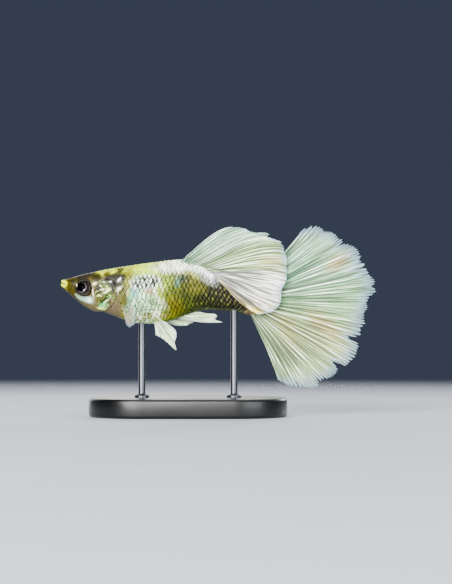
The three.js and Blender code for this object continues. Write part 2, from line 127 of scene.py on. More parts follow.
def flankAt(x, z, room=0.0):  # half the body's width at a place in the side view
    top, bottom = along(bodyShape["back"], x) + room, along(bodyShape["belly"], x) - room
    level = bottom + (top - bottom) * along(bodyShape["widestAt"], x)
    power = along(bodyShape["squareness"], x)
    reach = np.where(z > level, (z - level) / (top - level), (level - z) / (level - bottom))
    wide = along(bodyShape["halfWidth"], x) + room
    return wide * np.clip(1 - np.clip(reach, 0, 1) ** power, 0, 1) ** (1 / power)


def bodyHeight(x, z):  # 0 at the belly's line and 1 at the back's
    top, bottom = along(bodyShape["back"], x), along(bodyShape["belly"], x)
    return np.clip((z - bottom) / (top - bottom), 0, 1)


# One mesh from a grid of cells: place gives each corner's spot from its shares u across and v lengthwise,
# and the functions in values and uvMap take the same shares
def gridMesh(name, across, lengthwise, place, values, uvMap=None):
    shape = bmesh.new()
    bmesh.ops.create_grid(shape, x_segments=across, y_segments=lengthwise, size=1)
    mesh = meshOf(shape, name)
    corners = np.empty(len(mesh.vertices) * 3, np.float32)
    mesh.vertices.foreach_get("co", corners)
    corners = corners.reshape(-1, 3)[:, :2]
    low, high = corners.min(0), corners.max(0)
    u, v = ((corners - low) / (high - low)).T.astype(float)
    mesh.vertices.foreach_set("co", inFrame(place(u, v)).astype(np.float32).ravel())
    setValues(mesh, {key: worth(u, v) for key, worth in values.items()})
    if uvMap:
        setUnwrap(mesh, uvMap[0], np.stack(uvMap[1](u, v), axis=-1))
    closeUp(mesh)
    return mesh


def meshOf(shape, name):
    mesh = bpy.data.meshes.new(name)
    shape.to_mesh(mesh)
    shape.free()
    mesh.shade_smooth()
    return mesh


def setValues(mesh, values):  # numbers that the finish reads, one for each corner
    for key, numbers in values.items():
        layer = mesh.attributes.new(key, "FLOAT", "POINT")
        layer.data.foreach_set("value", np.asarray(numbers, np.float32).ravel())


def setUnwrap(mesh, name, spots):
    corners = np.empty(len(mesh.loops), np.int32)
    mesh.loops.foreach_get("vertex_index", corners)
    mesh.uv_layers.new(name=name).data.foreach_set("uv", spots[corners].astype(np.float32).ravel())


def closeUp(mesh, room=2e-7):  # merges the corners that meet and turns all faces outwards
    shape = bmesh.new()
    shape.from_mesh(mesh)
    bmesh.ops.remove_doubles(shape, verts=shape.verts, dist=room)
    bmesh.ops.recalc_face_normals(shape, faces=shape.faces)
    shape.to_mesh(mesh)
    shape.free()
    mesh.shade_smooth()


def inScene(name, data):
    made = bpy.data.objects.new(name, data)
    bpy.context.scene.collection.objects.link(made)
    return made


def piece(name, mesh, finish, slot, *nodes):
    made = inScene(name, mesh)
    mesh.materials.append(finish)
    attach(made, "root")
    if nodes:
        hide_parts(*nodes)


# Shader maths: a wire wraps a socket, and an expression on wires adds its Math nodes
class Wire:
    def __init__(self, finish, socket):
        self.finish = finish
        self.socket = socket

    def maths(self, operation, *values):
        return self.finish.add("Math", {"operation": operation}, dict(enumerate(values)))

    def __add__(self, other):
        return self.maths("ADD", self, other)

    def __sub__(self, other):
        return self.maths("SUBTRACT", self, other)

    def __mul__(self, other):
        return self.maths("MULTIPLY", self, other)

    def __radd__(self, other):
        return self.maths("ADD", other, self)

    def __rsub__(self, other):
        return self.maths("SUBTRACT", other, self)

    def __rmul__(self, other):
        return self.maths("MULTIPLY", other, self)


def setStops(ramp, stops):
    while len(ramp.elements) < len(stops):
        ramp.elements.new(0.5)
    for element, (place, color) in zip(ramp.elements, stops):
        element.position = place
        element.color = color


class Finish:
    def __init__(self, name):
        self.material = bpy.data.materials.new(name)
        self.material.use_nodes = True
        self.tree = self.material.node_tree
        self.tree.nodes.clear()

    def add(self, kind, settings=None, sockets=None, out=0):
        node = self.tree.nodes.new("ShaderNode" + kind)
        for key, value in (settings or {}).items():
            if key == "stops":
                setStops(node.color_ramp, value)
            else:
                setattr(node, key, value)
        for key, value in (sockets or {}).items():
            if isinstance(value, Wire):
                self.tree.links.new(value.socket, node.inputs[key])
            else:
                node.inputs[key].default_value = value
        return Wire(self, node.outputs[out]) if len(node.outputs) else node

    def blend(self, first, second, share):
        return self.add("Mix", {"data_type": "RGBA"}, {0: share, 6: first, 7: second}, 2)

    def scaled(self, color, share):  # a colour times a number
        return self.add("VectorMath", {"operation": "SCALE"}, {0: color, "Scale": share})

    def combined(self, operation, first, second):  # two colours or two places
        return self.add("VectorMath", {"operation": operation}, {0: first, 1: second})

    def length(self, vector):
        return self.add("VectorMath", {"operation": "LENGTH"}, {0: vector}, "Value")

    def ramp(self, share, stops):
        return self.add("ValToRGB", {"stops": stops}, {"Fac": share})

    def step(self, value, low, high, start=0.0, end=1.0):
        return self.add("MapRange", {"interpolation_type": "SMOOTHSTEP"}, {
            "Value": value, "From Min": low, "From Max": high, "To Min": start, "To Max": end})

    def between(self, noise, ends):  # takes the middle range of a noise to what lies between the two ends
        return self.step(noise, 0.3, 0.7, *ends)

    def noise(self, vector, scale, detail=2.0, roughness=0.5, out="Fac"):
        return self.add("TexNoise", None, {
            "Vector": vector, "Scale": scale, "Detail": detail, "Roughness": roughness}, out)

    def attribute(self, name):
        return self.add("Attribute", {"attribute_name": name}, None, "Fac")

    def part(self, vector, axis):
        return self.add("SeparateXYZ", None, {0: vector}, axis)

    def stretched(self, vector, scale):
        return self.add("Mapping", {"vector_type": "POINT"}, {"Vector": vector, "Scale": scale})

    def objectSpace(self):
        return self.add("TexCoord", None, None, "Object")

    def fishSpace(self):  # millimetres in the fish's frame, from the object's own coordinates
        return self.add("Mapping", {"vector_type": "POINT"}, {
            "Vector": self.objectSpace(), "Location": (-fishPlace["snoutX"], 0, -fishPlace["snoutZ"]),
            "Scale": (1 / mm, 1 / mm, 1 / mm)})

    def spot(self, where, mark, share=1.0):  # the share inside an ellipse in the side view, 0 outside it
        x, z, halfX, halfZ, turn, soft = mark
        halfY = 1e4  # so wide that the mark goes right through the fish
        local = self.add("Mapping", {"vector_type": "TEXTURE"}, {
            "Vector": where, "Location": (x, 0, z), "Rotation": (0, -math.radians(turn), 0),
            "Scale": (halfX, halfY, halfZ)})
        return self.step(self.length(local), 1 - soft, 1 + soft, share, 0)

    def marked(self, color, where, marks, start=-math.inf):  # start leaves out the marks further forward
        for rgb, share, *ellipse in marks:
            if ellipse[0] + ellipse[2] > start:
                color = self.blend(color, tint(*rgb), self.spot(where, ellipse, share))
        return color

    def bump(self, height, strength, distance):
        return self.add("Bump", None, {"Height": height, "Strength": strength, "Distance": distance})

    def surface(self, sockets):
        shader = self.add("BsdfPrincipled", None, sockets)
        self.add("OutputMaterial", None, {"Surface": shader})
        return self.material

    def coated(self, color, grain, looks, **more):  # a clear coat over a colour, as smooth as the grain says
        return self.surface({
            "Base Color": color, "Roughness": self.between(grain, looks["roughness"]),
            "Specular IOR Level": looks["specular"], "Coat Weight": looks["coat"],
            "Coat Roughness": looks["coatRoughness"], **more})


# The view softens colours, so the paint is stronger than what the photo shows
paint = {
    "gain": 0.95, "contrast": 1.78, "strength": 1.3, "darkest": 0.0008,
    "brightness": (0.21, 0.72, 0.07),  # what red, green and blue add to the brightness
}


def tint(red, green, blue):  # a colour from 0 to 255 as a paint
    light = ((np.array([red, green, blue]) / 255 + 0.055) / 1.055) ** 2.4  # sRGB to linear
    grey = light @ paint["brightness"]
    strong = np.maximum(grey + (light - grey) * paint["strength"], paint["darkest"])
    return tuple(paint["gain"] * strong ** paint["contrast"]) + (1.0,)


def tints(table):
    return [(at, tint(*rgb)) for at, rgb in table]


# The colours of the body: bands along it, then marks laid over them in the side view
bodyLength = 31.0
bodyBands = [  # (mm from the snout, colour)
    (0.0, (170, 170, 92)), (1.2, (104, 98, 38)), (2.6, (104, 96, 50)), (3.6, (134, 128, 104)),
    (7.0, (142, 138, 116)), (9.0, (134, 130, 106)), (10.2, (158, 160, 100)), (11.2, (184, 202, 170)),
    (13.0, (200, 218, 192)), (15.0, (190, 204, 132)), (16.4, (150, 160, 58)), (18.4, (132, 140, 50)),
    (20.0, (102, 110, 42)), (22.0, (80, 86, 34)), (24.5, (66, 69, 33)), (27.4, (56, 56, 30)),
    (29.4, (84, 80, 58)), (30.6, (190, 192, 170)),
]
backColors = [  # the band along the back: (mm from the snout, colour)
    (0.0, (130, 116, 50)), (2.0, (104, 100, 72)), (5.2, (116, 116, 62)), (5.9, (206, 212, 104)),
    (9.3, (208, 220, 96)), (10.4, (214, 222, 118)), (12.0, (222, 232, 120)), (15.0, (236, 244, 170)),
    (18.0, (251, 253, 247)), (22.5, (246, 249, 250)), (25.0, (228, 224, 196)), (30.6, (200, 196, 168)),
]
bodyMarks = [  # [colour, share], then x, z, half sizes, degrees and softness of the ellipse
    # shoulder, flank and back
    [(168, 168, 92), 0.95, 10.6, 0.75, 0.85, 1.5, -8, 0.4],
    [(184, 211, 184), 0.9, 13.0, -3.0, 2.6, 2.1, 0, 0.45],
    [(206, 220, 96), 0.85, 14.0, 1.9, 2.6, 0.85, 8, 0.5],
    [(206, 222, 38), 1.0, 13.7, 2.0, 1.35, 0.7, 10, 0.6],
    [(174, 186, 56), 0.85, 16.3, 0.7, 1.0, 1.7, 0, 0.5],
    [(200, 210, 76), 0.6, 15.6, -1.6, 0.9, 1.4, 0, 0.5],
    [(250, 252, 242), 0.95, 18.2, 2.4, 3.3, 0.85, 4, 0.75],
    [(246, 250, 250), 0.95, 22.4, 1.4, 2.2, 0.95, -36, 0.7],
    [(206, 212, 160), 0.7, 20.6, 1.2, 1.6, 0.5, -20, 0.6],
    # belly and lower flank
    [(145, 141, 52), 0.85, 17.6, -3.6, 1.4, 1.5, 10, 0.5],
    [(172, 166, 112), 0.8, 14.2, -5.3, 2.6, 0.6, 4, 0.4],
    [(172, 196, 210), 0.8, 11.5, -1.9, 0.5, 1.2, -8, 0.5],
    [(176, 222, 196), 0.8, 10.9, -3.2, 0.8, 1.7, 0, 0.5],
    [(206, 184, 160), 0.75, 13.9, -1.3, 0.85, 0.6, 0, 0.5],
    # blue and dark spots of the upper flank
    [(136, 164, 150), 0.9, 18.15, 0.0, 0.5, 0.75, 0, 0.4],
    [(44, 80, 74), 0.95, 19.5, 0.4, 1.0, 0.6, -10, 0.5],
    [(22, 32, 18), 0.95, 20.0, 0.75, 0.3, 0.45, 0, 0.5],
    # tail stalk
    [(168, 168, 66), 0.6, 20.8, -0.6, 1.6, 1.2, -10, 0.6],
    [(44, 40, 20), 0.8, 26.6, -1.8, 2.6, 1.1, -42, 0.5],
    [(120, 124, 106), 0.85, 25.4, -4.35, 4.6, 0.32, -3, 0.5],
    [(160, 150, 128), 0.7, 29.3, -4.7, 0.7, 0.5, -10, 0.5],
    # ochre band and throat behind the gill cover
    [(126, 126, 14), 1.0, 9.8, -2.0, 0.6, 2.0, 6, 0.35],
    [(222, 206, 158), 0.8, 10.55, -1.8, 0.16, 0.5, 0, 0.5],
    [(138, 130, 116), 0.85, 8.1, -4.0, 1.3, 1.2, -24, 0.5],
    [(142, 128, 114), 0.65, 7.9, -3.3, 0.35, 0.9, 12, 0.5],
    # dark patch above the gill cover, with painted highlights (white glints) on it
    [(84, 80, 76), 0.95, 8.35, 0.62, 1.75, 0.95, 14, 0.35],
    [(56, 66, 66), 0.85, 8.4, -0.4, 1.4, 0.4, 14, 0.5],
    [(40, 44, 40), 0.9, 8.1, -1.0, 0.24, 0.8, 14, 0.5],
    [(36, 30, 24), 0.9, 9.75, 0.75, 0.3, 0.5, 0, 0.5],
    [(50, 44, 40), 0.8, 7.2, 0.5, 0.5, 0.2, 20, 0.6],
    # painted highlights: the small white glints on the shoulder
    [(252, 254, 255), 1.0, 9.2, 0.42, 0.36, 0.14, 48, 0.7],
    [(250, 252, 250), 0.9, 7.8, 0.06, 0.2, 0.09, 0, 0.8],
    [(246, 248, 244), 0.9, 6.75, 0.02, 0.18, 0.08, 0, 0.8],
    [(246, 246, 238), 1.0, 9.15, -0.98, 0.4, 0.17, 42, 0.7],
    [(200, 210, 196), 0.7, 8.9, -1.5, 0.22, 0.4, 20, 0.4],
    # nape
    [(88, 76, 22), 0.95, 9.25, 1.85, 0.7, 0.4, 22, 0.4],
    [(92, 80, 26), 0.9, 7.2, 1.28, 0.6, 0.32, 30, 0.4],
    [(222, 228, 100), 0.9, 8.3, 1.62, 0.55, 0.22, 14, 0.4],
    # crown
    [(72, 71, 58), 0.95, 3.6, 0.85, 1.7, 0.46, 16, 0.4],
    [(50, 44, 42), 0.9, 4.1, 0.25, 1.0, 0.32, 8, 0.4],
    [(124, 116, 76), 0.8, 4.75, 0.45, 0.4, 0.36, 0, 0.6],
    [(86, 84, 10), 1.0, 5.62, 0.74, 0.85, 0.66, 12, 0.35],
    # snout and lips
    [(107, 104, 52), 0.95, 1.8, -0.15, 0.85, 0.85, 10, 0.5],
    [(60, 56, 12), 0.8, 1.95, 0.1, 0.36, 0.32, 20, 0.6],
    [(66, 60, 16), 0.7, 1.75, -0.75, 0.22, 0.4, -30, 0.6],
    [(72, 62, 18), 0.7, 1.35, 0.2, 0.2, 0.2, 0, 0.6],
    [(108, 102, 44), 0.95, 2.1, -1.35, 0.65, 0.5, -40, 0.5],
    [(224, 226, 112), 1.0, 0.35, -0.25, 0.66, 0.58, 0, 0.25],
    # silver cheek
    [(184, 204, 194), 1.0, 3.75, -2.6, 1.3, 0.44, -22, 0.45],
    [(148, 156, 148), 0.7, 3.4, -2.25, 0.6, 0.12, -20, 0.6],
    [(228, 246, 238), 0.9, 4.5, -2.75, 0.4, 0.42, -30, 0.6],
    [(186, 190, 172), 0.7, 2.7, -2.1, 0.5, 0.24, -34, 0.5],
    # behind and round the eye
    [(244, 240, 220), 1.0, 5.05, -1.5, 0.09, 1.15, 6, 0.4],
    [(250, 236, 206), 1.0, 5.36, -0.24, 0.32, 0.22, 24, 0.4],
    [(80, 58, 42), 0.95, 5.78, -1.0, 0.45, 0.9, -10, 0.4],
    [(30, 26, 22), 0.8, 5.5, -1.75, 0.16, 0.42, -14, 0.5],
    [(66, 62, 56), 0.95, 3.62, -0.9, 1.45, 1.4, 0, 0.12],
    [(232, 230, 216), 1.0, 2.5, -0.5, 0.09, 0.24, 10, 0.5],
]
gillMarks = [
    [(130, 141, 98), 0.95, 6.85, -1.95, 1.45, 2.25, 10, 0.25],
    [(128, 122, 88), 0.8, 6.2, -2.6, 0.7, 0.5, 30, 0.5],
    [(238, 242, 214), 0.95, 7.3, -1.3, 0.7, 0.28, 40, 0.4],
    [(246, 250, 240), 1.0, 6.45, -1.15, 0.34, 0.18, 10, 0.35],
    [(96, 100, 80), 0.85, 6.0, -0.6, 0.36, 0.26, 0, 0.4],
    [(232, 238, 200), 0.9, 6.3, -1.95, 0.5, 0.22, 24, 0.4],
    [(212, 218, 166), 0.8, 7.4, -0.7, 0.5, 0.24, 20, 0.5],
    [(176, 226, 182), 0.95, 6.75, -3.6, 0.75, 0.62, 34, 0.35],
    [(40, 62, 34), 1.0, 6.65, -2.85, 0.95, 0.13, 42, 0.4],
    [(240, 246, 226), 1.0, 7.25, -2.85, 0.8, 0.09, 40, 0.4],
    [(236, 240, 190), 0.95, 6.4, -4.1, 0.75, 0.2, -8, 0.4],
    [(110, 136, 96), 0.8, 7.35, -2.2, 0.3, 0.45, 10, 0.5],
]


# Flecks in a patch of the body: the patch's ellipse, the scale, detail and roughness of their noise, and
# for each colour its strength and the levels of the noise that it fades in between
gillFlecks = {
    "patch": (6.85, -1.9, 1.3, 2.0, 10, 0.3), "noise": (2.6, 3, 0.6),
    "colors": [[(64, 68, 34), 0.85, 0.49, 0.4], [(226, 238, 188), 0.85, 0.56, 0.66]],
}
# painted highlights: the pale flecks on the belly are painted glints; the dark ones are its own speckles
bellyGlintsAndFlecks = {
    "patch": (13.3, -4.2, 2.9, 1.9, 0, 0.4), "noise": (3.6, 3, 0.7),
    "colors": [[(250, 255, 246), 0.95, 0.54, 0.6], [(112, 116, 70), 0.75, 0.49, 0.42]],
}
bodyLooks = {
    "drift": (1.8, 6, 0.75),  # scale, detail and roughness of the noise that frays the edges of all marks
    "loose": (3, 11, 0.45, 0.95),  # from x to x, how far they fray: less on the head
    "backEdge": (0.8, 0.93), "backWander": 0.1, "wander": 2.2,  # where the back's band fades in
    "mottle": (4.2, 5, 0.7), "mottled": (0.28, 0.72, 0.62, 1.26),
}


def alongBody(finish, share, colors):  # the colour at each share of the body's length
    return finish.ramp(share, [(at / bodyLength, color) for at, color in colors])


def flecked(finish, color, flecks, patchPlace, noisePlace):
    patch = finish.spot(patchPlace, flecks["patch"])
    noise = finish.noise(noisePlace, *flecks["noise"])
    for rgb, strength, low, high in flecks["colors"]:
        color = finish.blend(color, tint(*rgb), patch * finish.step(noise, low, high) * strength)
    return color


def bodyPattern(finish, start=0.0):  # start leaves out the marks that lie further forward
    looks = bodyLooks
    where = finish.fishSpace()
    drift = finish.noise(where, *looks["drift"], "Color")
    drift = finish.combined("SUBTRACT", drift, (0.5, 0.5, 0.5))
    loose = finish.step(finish.part(where, "X"), *looks["loose"])
    drifted = finish.combined("ADD", finish.scaled(drift, loose), where)
    share = finish.part(drifted, "X") * (1 / bodyLength)
    color, back = (alongBody(finish, share, tints(table)) for table in (bodyBands, backColors))
    wander = (finish.noise(where, looks["wander"]) - 0.5) * looks["backWander"]
    height = finish.attribute("bodyHeight") + wander
    color = finish.blend(color, back, finish.step(height, *looks["backEdge"]))
    color = finish.marked(color, drifted, gillMarks + bodyMarks, start)
    color = flecked(finish, color, gillFlecks, drifted, drifted)
    # the belly's painted glints and its own dark speckles
    color = flecked(finish, color, bellyGlintsAndFlecks, drifted, where)
    mottle = finish.noise(where, *looks["mottle"])
    return where, finish.scaled(color, finish.step(mottle, *looks["mottled"]))


def wetSurface(finish, color, where, looks):  # a thin clear coat over a fine grain
    grain = finish.noise(where, *looks["grain"])
    return finish.coated(color, grain, looks, Normal=finish.bump(grain, *looks["bump"]))


skinLooks = {
    "grain": (9, 3, 0.6), "roughness": (0.3, 0.46), "specular": 0.08, "coat": 0.035, "coatRoughness": 0.12,
    "bump": (0.35, 0.00008), "mouth": (34, 22, 16),
}


def skinFinish():
    finish = Finish("guppySkin")
    where, color = bodyPattern(finish)
    # painted shade: the inside of the mouth is painted nearly black
    color = finish.blend(color, tint(*skinLooks["mouth"]), finish.attribute("innerMouth"))
    return wetSurface(finish, color, where, skinLooks)


# How dark the rims of the scales are along the body, as a colour that the scale's own is multiplied by
scaleRims = [
    (8.0, (0.8, 0.78, 0.62)), (11.0, (0.66, 0.74, 0.66)), (14.4, (0.62, 0.66, 0.46)),
    (16.4, (0.34, 0.36, 0.1)), (19.0, (0.2, 0.21, 0.06)), (22.0, (0.26, 0.26, 0.14)),
    (28.0, (0.5, 0.5, 0.4)), (30.6, (0.8, 0.8, 0.8)),
]
scaleLooks = {
    "grain": (8, 3, 0.6), "roughness": (0.26, 0.42), "specular": 0.14, "coat": 0.06, "coatRoughness": 0.15,
    "bump": (0.25, 0.00005),
    "patchy": (1.1, 3, 0.6), "fine": (5.5, 3, 0.6),  # the noises that make the rims uneven
    "rimWidth": (1.0, 0.42), "backRims": (0.74, 0.86),  # the rims fade out towards the back
    "net": (13.3, 0.0, 2.2, 1.2, 6, 0.3), "netScale": (240, 246, 240), "netLine": (22, 30, 26),
    "darkGold": (96, 97, 56), "lightGold": (142, 142, 98),  # then between which x and heights it fades
    "goldFront": (18.5, 21.0), "goldRear": (29.8, 27.0), "goldTop": (0.84, 0.74), "goldLow": (0.1, 0.2),
    # painted highlights on some scales of the front flank
    "highlightColor": (246, 254, 244), "highlightShare": 0.5, "highlightTone": (0.5, 0.95),
    "highlightFront": (10.2, 11.4), "highlightRear": (17.0, 14.5), "highlightTop": (0.78, 0.66),
    "barStretch": (2.4, 1.0, 0.55), "barNoise": (1.0, 2, 0.6), "barLevel": (0.56, 0.36),
    "barFrom": (14.0, 17.0, 0.3, 1.0), "barShade": 0.42, "barShare": 0.9, "tones": (0.78, 1.22),
}


def goldSpots(finish, color, x, height, rim, tone, fine):  # one in each dark scale of the rear flank
    looks = scaleLooks
    rear = finish.step(x, *looks["goldFront"]) * finish.step(x, *looks["goldRear"])
    rear = rear * finish.step(height, *looks["goldTop"]) * finish.step(height, *looks["goldLow"])
    gold = finish.blend(tint(*looks["darkGold"]), tint(*looks["lightGold"]), tone)
    spotted = finish.step(rim + (fine - 0.5) * 0.9, 0.62, 0.2) * finish.step(tone, 0.0, 0.9, 0.0, 0.9)
    return finish.blend(color, gold, rear * spotted)


def paintedScaleHighlights(finish, color, x, height, inner, tone):  # painted highlights: some scales of the front flank are painted nearly white, as a gleam
    looks = scaleLooks
    front = finish.step(x, *looks["highlightRear"]) * finish.step(x, *looks["highlightFront"])
    share = finish.step(tone, *looks["highlightTone"]) * front * inner * finish.step(height, *looks["highlightTop"])
    return finish.blend(color, tint(*looks["highlightColor"]), share * looks["highlightShare"])


def uprightBars(finish, color, x, where):  # dark strokes from scale to scale, stronger towards the tail
    looks = scaleLooks
    upright = finish.stretched(where, looks["barStretch"])
    bars = finish.step(finish.noise(upright, *looks["barNoise"]), *looks["barLevel"])
    strong = finish.step(x, *looks["barFrom"])
    return finish.blend(color, finish.scaled(color, looks["barShade"]), strong * bars * looks["barShare"])


def scaleFinish():
    looks = scaleLooks
    finish = Finish("guppyScales")
    where, color = bodyPattern(finish, scaleShape["napeStart"] - 0.4)
    x = finish.part(where, "X")
    rim, tone = finish.attribute("scaleRim"), finish.attribute("scaleTone")
    height = finish.attribute("bodyHeight")
    patchy = finish.noise(where, *looks["patchy"])
    fine = finish.noise(where, *looks["fine"])
    net = finish.spot(where, looks["net"])  # tall white scales in a dark net on the shoulder
    wide = rim + net * 0.34 + (patchy - 0.5) * 1.3 + (fine - 0.5) * 1.6
    inner = finish.step(wide, *looks["rimWidth"])
    rimShade = alongBody(finish, x * (1 / bodyLength), [(at, shade + (1.0,)) for at, shade in scaleRims])
    edge = finish.combined("MULTIPLY", color, rimShade)
    edge = finish.blend(edge, tint(*looks["netLine"]), net * finish.step(patchy, 0.3, 0.5, 0.7, 1.0))
    edge = finish.blend(edge, color, finish.step(height, *looks["backRims"]))
    middle = finish.blend(color, tint(*looks["netScale"]), net * 0.85)
    color = finish.blend(edge, middle, inner)
    color = goldSpots(finish, color, x, height, rim, tone, fine)
    color = paintedScaleHighlights(finish, color, x, height, inner, tone)
    color = uprightBars(finish, color, x, where)
    color = finish.scaled(color, finish.step(tone, 0, 1, *looks["tones"]))
    return wetSurface(finish, color, where, looks)


# Skin: rings from inside the mouth, round the lips, over the face and along the body to the tail
skinShape = {
    "around": 168, "lipRadius": 0.25, "lowerLip": 1.12, "cornerThinning": 0.6, "lipGap": 0.015,
    "mouthHalf": 0.72, "mouthDepth": 0.85, "mouthX": 0.24, "mouthZ": -0.13, "mouthDrop": 0.3,
    "throat": [(0.75, 0.02), (0.7, 0.5), (0.4, 0.85), (0.15, 1.0)],  # (depth, width) of the rings inside
    "lipSweep": (-88, 72), "insideUpTo": -50, "lipRings": 15,  # degrees round the lip
    "faceStart": 0.35, "faceEnd": 1.9, "faceRings": 28, "headEnd": 9.2, "headStep": 0.07, "bodyStep": 0.15,
    "tailEnd": 31.1, "reliefFrom": (0.5, 1.2), "tailSize": 0.01,
}
eyeShape = {
    "x": 3.66, "z": -1.02, "radius": 1.14, "depth": 0.85, "centreY": 1.36, "around": 48, "rings": 32,
}
gillShape = {
    "x": 6.9, "z": -2.05, "halfLength": 1.72, "halfHeight": 2.45, "lean": 0.16, "meanRadius": 1.9,
    "lift": 0.11, "groove": 0.13, "grooveAt": 0.12, "grooveWidth": 0.08,
    "rear": (-0.5, 0.4), "rearTilt": 0.25, "step": (-0.03, 0.04),  # only its rear edge stands out
}
faceShape = {
    "lidRing": 1.33, "lidWidth": 0.13, "lidLift": 0.09, "socketRim": (1.02, 1.22), "socketDepth": 0.55,
    "cheekX": 5.15, "cheekZ": -1.6, "cheekBend": 0.1, "cheekWidth": 0.12, "cheekLift": 0.05,
    "cheekLow": (-3.9, -2.8), "cheekHigh": (-0.4, 0.4),  # where the cheek's line fades out
    "nostrilX": 1.5, "nostrilY": 0.6, "nostrilRadius": 0.11, "nostrilDepth": 0.2,
    "nostrilRim": 0.2, "nostrilRimWidth": 0.06, "nostrilRimLift": 0.035,
}


def mouthPoint(turn, phi, inward=0.0):  # a ring round the mouth; phi goes round the lip, outwards
    s = skinShape
    side = np.arcsin(np.sin(turn)) / (math.pi / 2)  # -1 to 1 from corner to corner
    upper = np.tanh(3 * np.cos(turn)) / math.tanh(3)  # 1 on the upper lip and -1 on the lower one
    bend = side * math.pi / 2
    x = s["mouthX"] + s["mouthDepth"] * (1 - np.cos(bend))
    y = s["mouthHalf"] * np.sin(bend)
    z = s["mouthZ"] - s["mouthDrop"] * np.sin(bend) ** 2
    outward = np.stack([-s["mouthHalf"] * np.cos(bend), s["mouthDepth"] * np.sin(bend), 0 * bend], axis=-1)
    radius = s["lipRadius"] * (1 - s["cornerThinning"] * side ** 2) * np.where(upper < 0, s["lowerLip"], 1.0)
    gap = s["lipGap"] * (1 - side ** 2)
    middle = np.stack([x, y, z + upper * (radius + gap)], axis=-1)
    spot = middle + unit(outward) * (np.cos(phi) * radius - inward)[..., None]
    spot[..., 2] += np.sin(phi) * radius * upper
    return spot


def headRelief(spot, normal):  # what the head's bones and openings add, along the normal
    f, g = faceShape, gillShape
    x, y, z = spot[..., 0], np.abs(spot[..., 1]), spot[..., 2]
    eye = np.hypot(x - eyeShape["x"], z - eyeShape["z"])
    lift = f["lidLift"] * hump(eye - f["lidRing"], f["lidWidth"])
    lift -= f["socketDepth"] * (1 - smoothStep(*f["socketRim"], eye))
    high = z - g["z"]
    back = (x - g["x"] - high * g["lean"]) / g["halfLength"]
    edge = (np.hypot(back, high / g["halfHeight"]) - 1) * g["meanRadius"]  # mm outside the gill cover
    rear = smoothStep(*g["rear"], back - g["rearTilt"] * high / g["halfHeight"])
    lift += g["lift"] * rear * (1 - smoothStep(*g["step"], edge))
    lift -= g["groove"] * rear * hump(edge - g["grooveAt"], g["grooveWidth"])
    cheek = hump(x - f["cheekX"] - f["cheekBend"] * (z - f["cheekZ"]) ** 2, f["cheekWidth"])
    lift += f["cheekLift"] * cheek * smoothStep(*f["cheekLow"], z) * (1 - smoothStep(*f["cheekHigh"], z))
    nostril = np.hypot(x - f["nostrilX"], y - f["nostrilY"]) + np.where(z < 0, 9, 0)  # above the mouth only
    lift += f["nostrilRimLift"] * hump(nostril - f["nostrilRim"], f["nostrilRimWidth"])
    lift -= f["nostrilDepth"] * hump(nostril, f["nostrilRadius"])
    return spot + normal * lift[..., None]


def towardsMiddle(ring, size):  # the ring shrunk round its own middle
    middle = ring[:-1].mean(0)
    return middle + (ring - middle) * size


def skinRings():  # all rings, and for each 1 where it lies inside the mouth
    s = skinShape
    turn = np.linspace(0, 2 * math.pi, s["around"] + 1)
    rings = []
    for depth, size in s["throat"]:
        rings.append(towardsMiddle(mouthPoint(turn, -math.pi / 2 + 0 * turn, depth), size))
    inner = [1.0] * len(rings)
    for degrees in np.linspace(*s["lipSweep"], s["lipRings"]):
        rings.append(mouthPoint(turn, math.radians(degrees) + 0 * turn))
        inner.append(float(degrees < s["insideUpTo"]))
    lipEdge = rings[-1]
    for share in np.linspace(0, 1, s["faceRings"] + 1)[1:]:
        face = bodyPoint(s["faceStart"] + (s["faceEnd"] - s["faceStart"]) * share + 0 * turn, turn)
        cover = smoothStep(0, 1, share)
        rings.append(lipEdge * (1 - cover) + face * cover)
    head = np.arange(s["faceEnd"] + s["headStep"], s["headEnd"], s["headStep"])
    body = np.arange(s["headEnd"], s["tailEnd"], s["bodyStep"])
    rings += [bodyPoint(x + 0 * turn, turn) for x in np.concatenate([head, body])]
    rings.append(towardsMiddle(rings[-1], s["tailSize"]))
    inner += [0.0] * (len(rings) - len(inner))
    return np.array(rings), np.array(inner)


def makeSkin():
    rings, inner = skinRings()
    rows, columns = rings.shape[0] - 1, rings.shape[1] - 1
    lengthwise = np.gradient(rings, axis=0)
    around = np.gradient(rings, axis=1)
    around[:, 0] = around[:, -1] = (rings[:, 1] - rings[:, -2]) / 2
    normal = unit(np.cross(lengthwise, around))
    onFace = smoothStep(*skinShape["reliefFrom"], rings[..., 0])[..., None]  # behind the lips
    onFace = onFace * (1 - inner[:, None, None])  # and outside the mouth
    shaped = rings * (1 - onFace) + headRelief(rings, normal) * onFace

    def cell(u, v):
        return np.rint(v * rows).astype(int), np.rint(u * columns).astype(int)

    mesh = gridMesh("guppySkin", columns, rows, lambda u, v: shaped[cell(u, v)], {
        "bodyHeight": lambda u, v: bodyHeight(*rings[cell(u, v)][:, [0, 2]].T),
        "innerMouth": lambda u, v: inner[cell(u, v)[0]],
    })
    piece("guppySkin", mesh, skinFinish(), "skin_trunk", "head", "lower_jaw", "gill_cover_left",
          "gill_cover_right", "trunk", "tail_stalk")


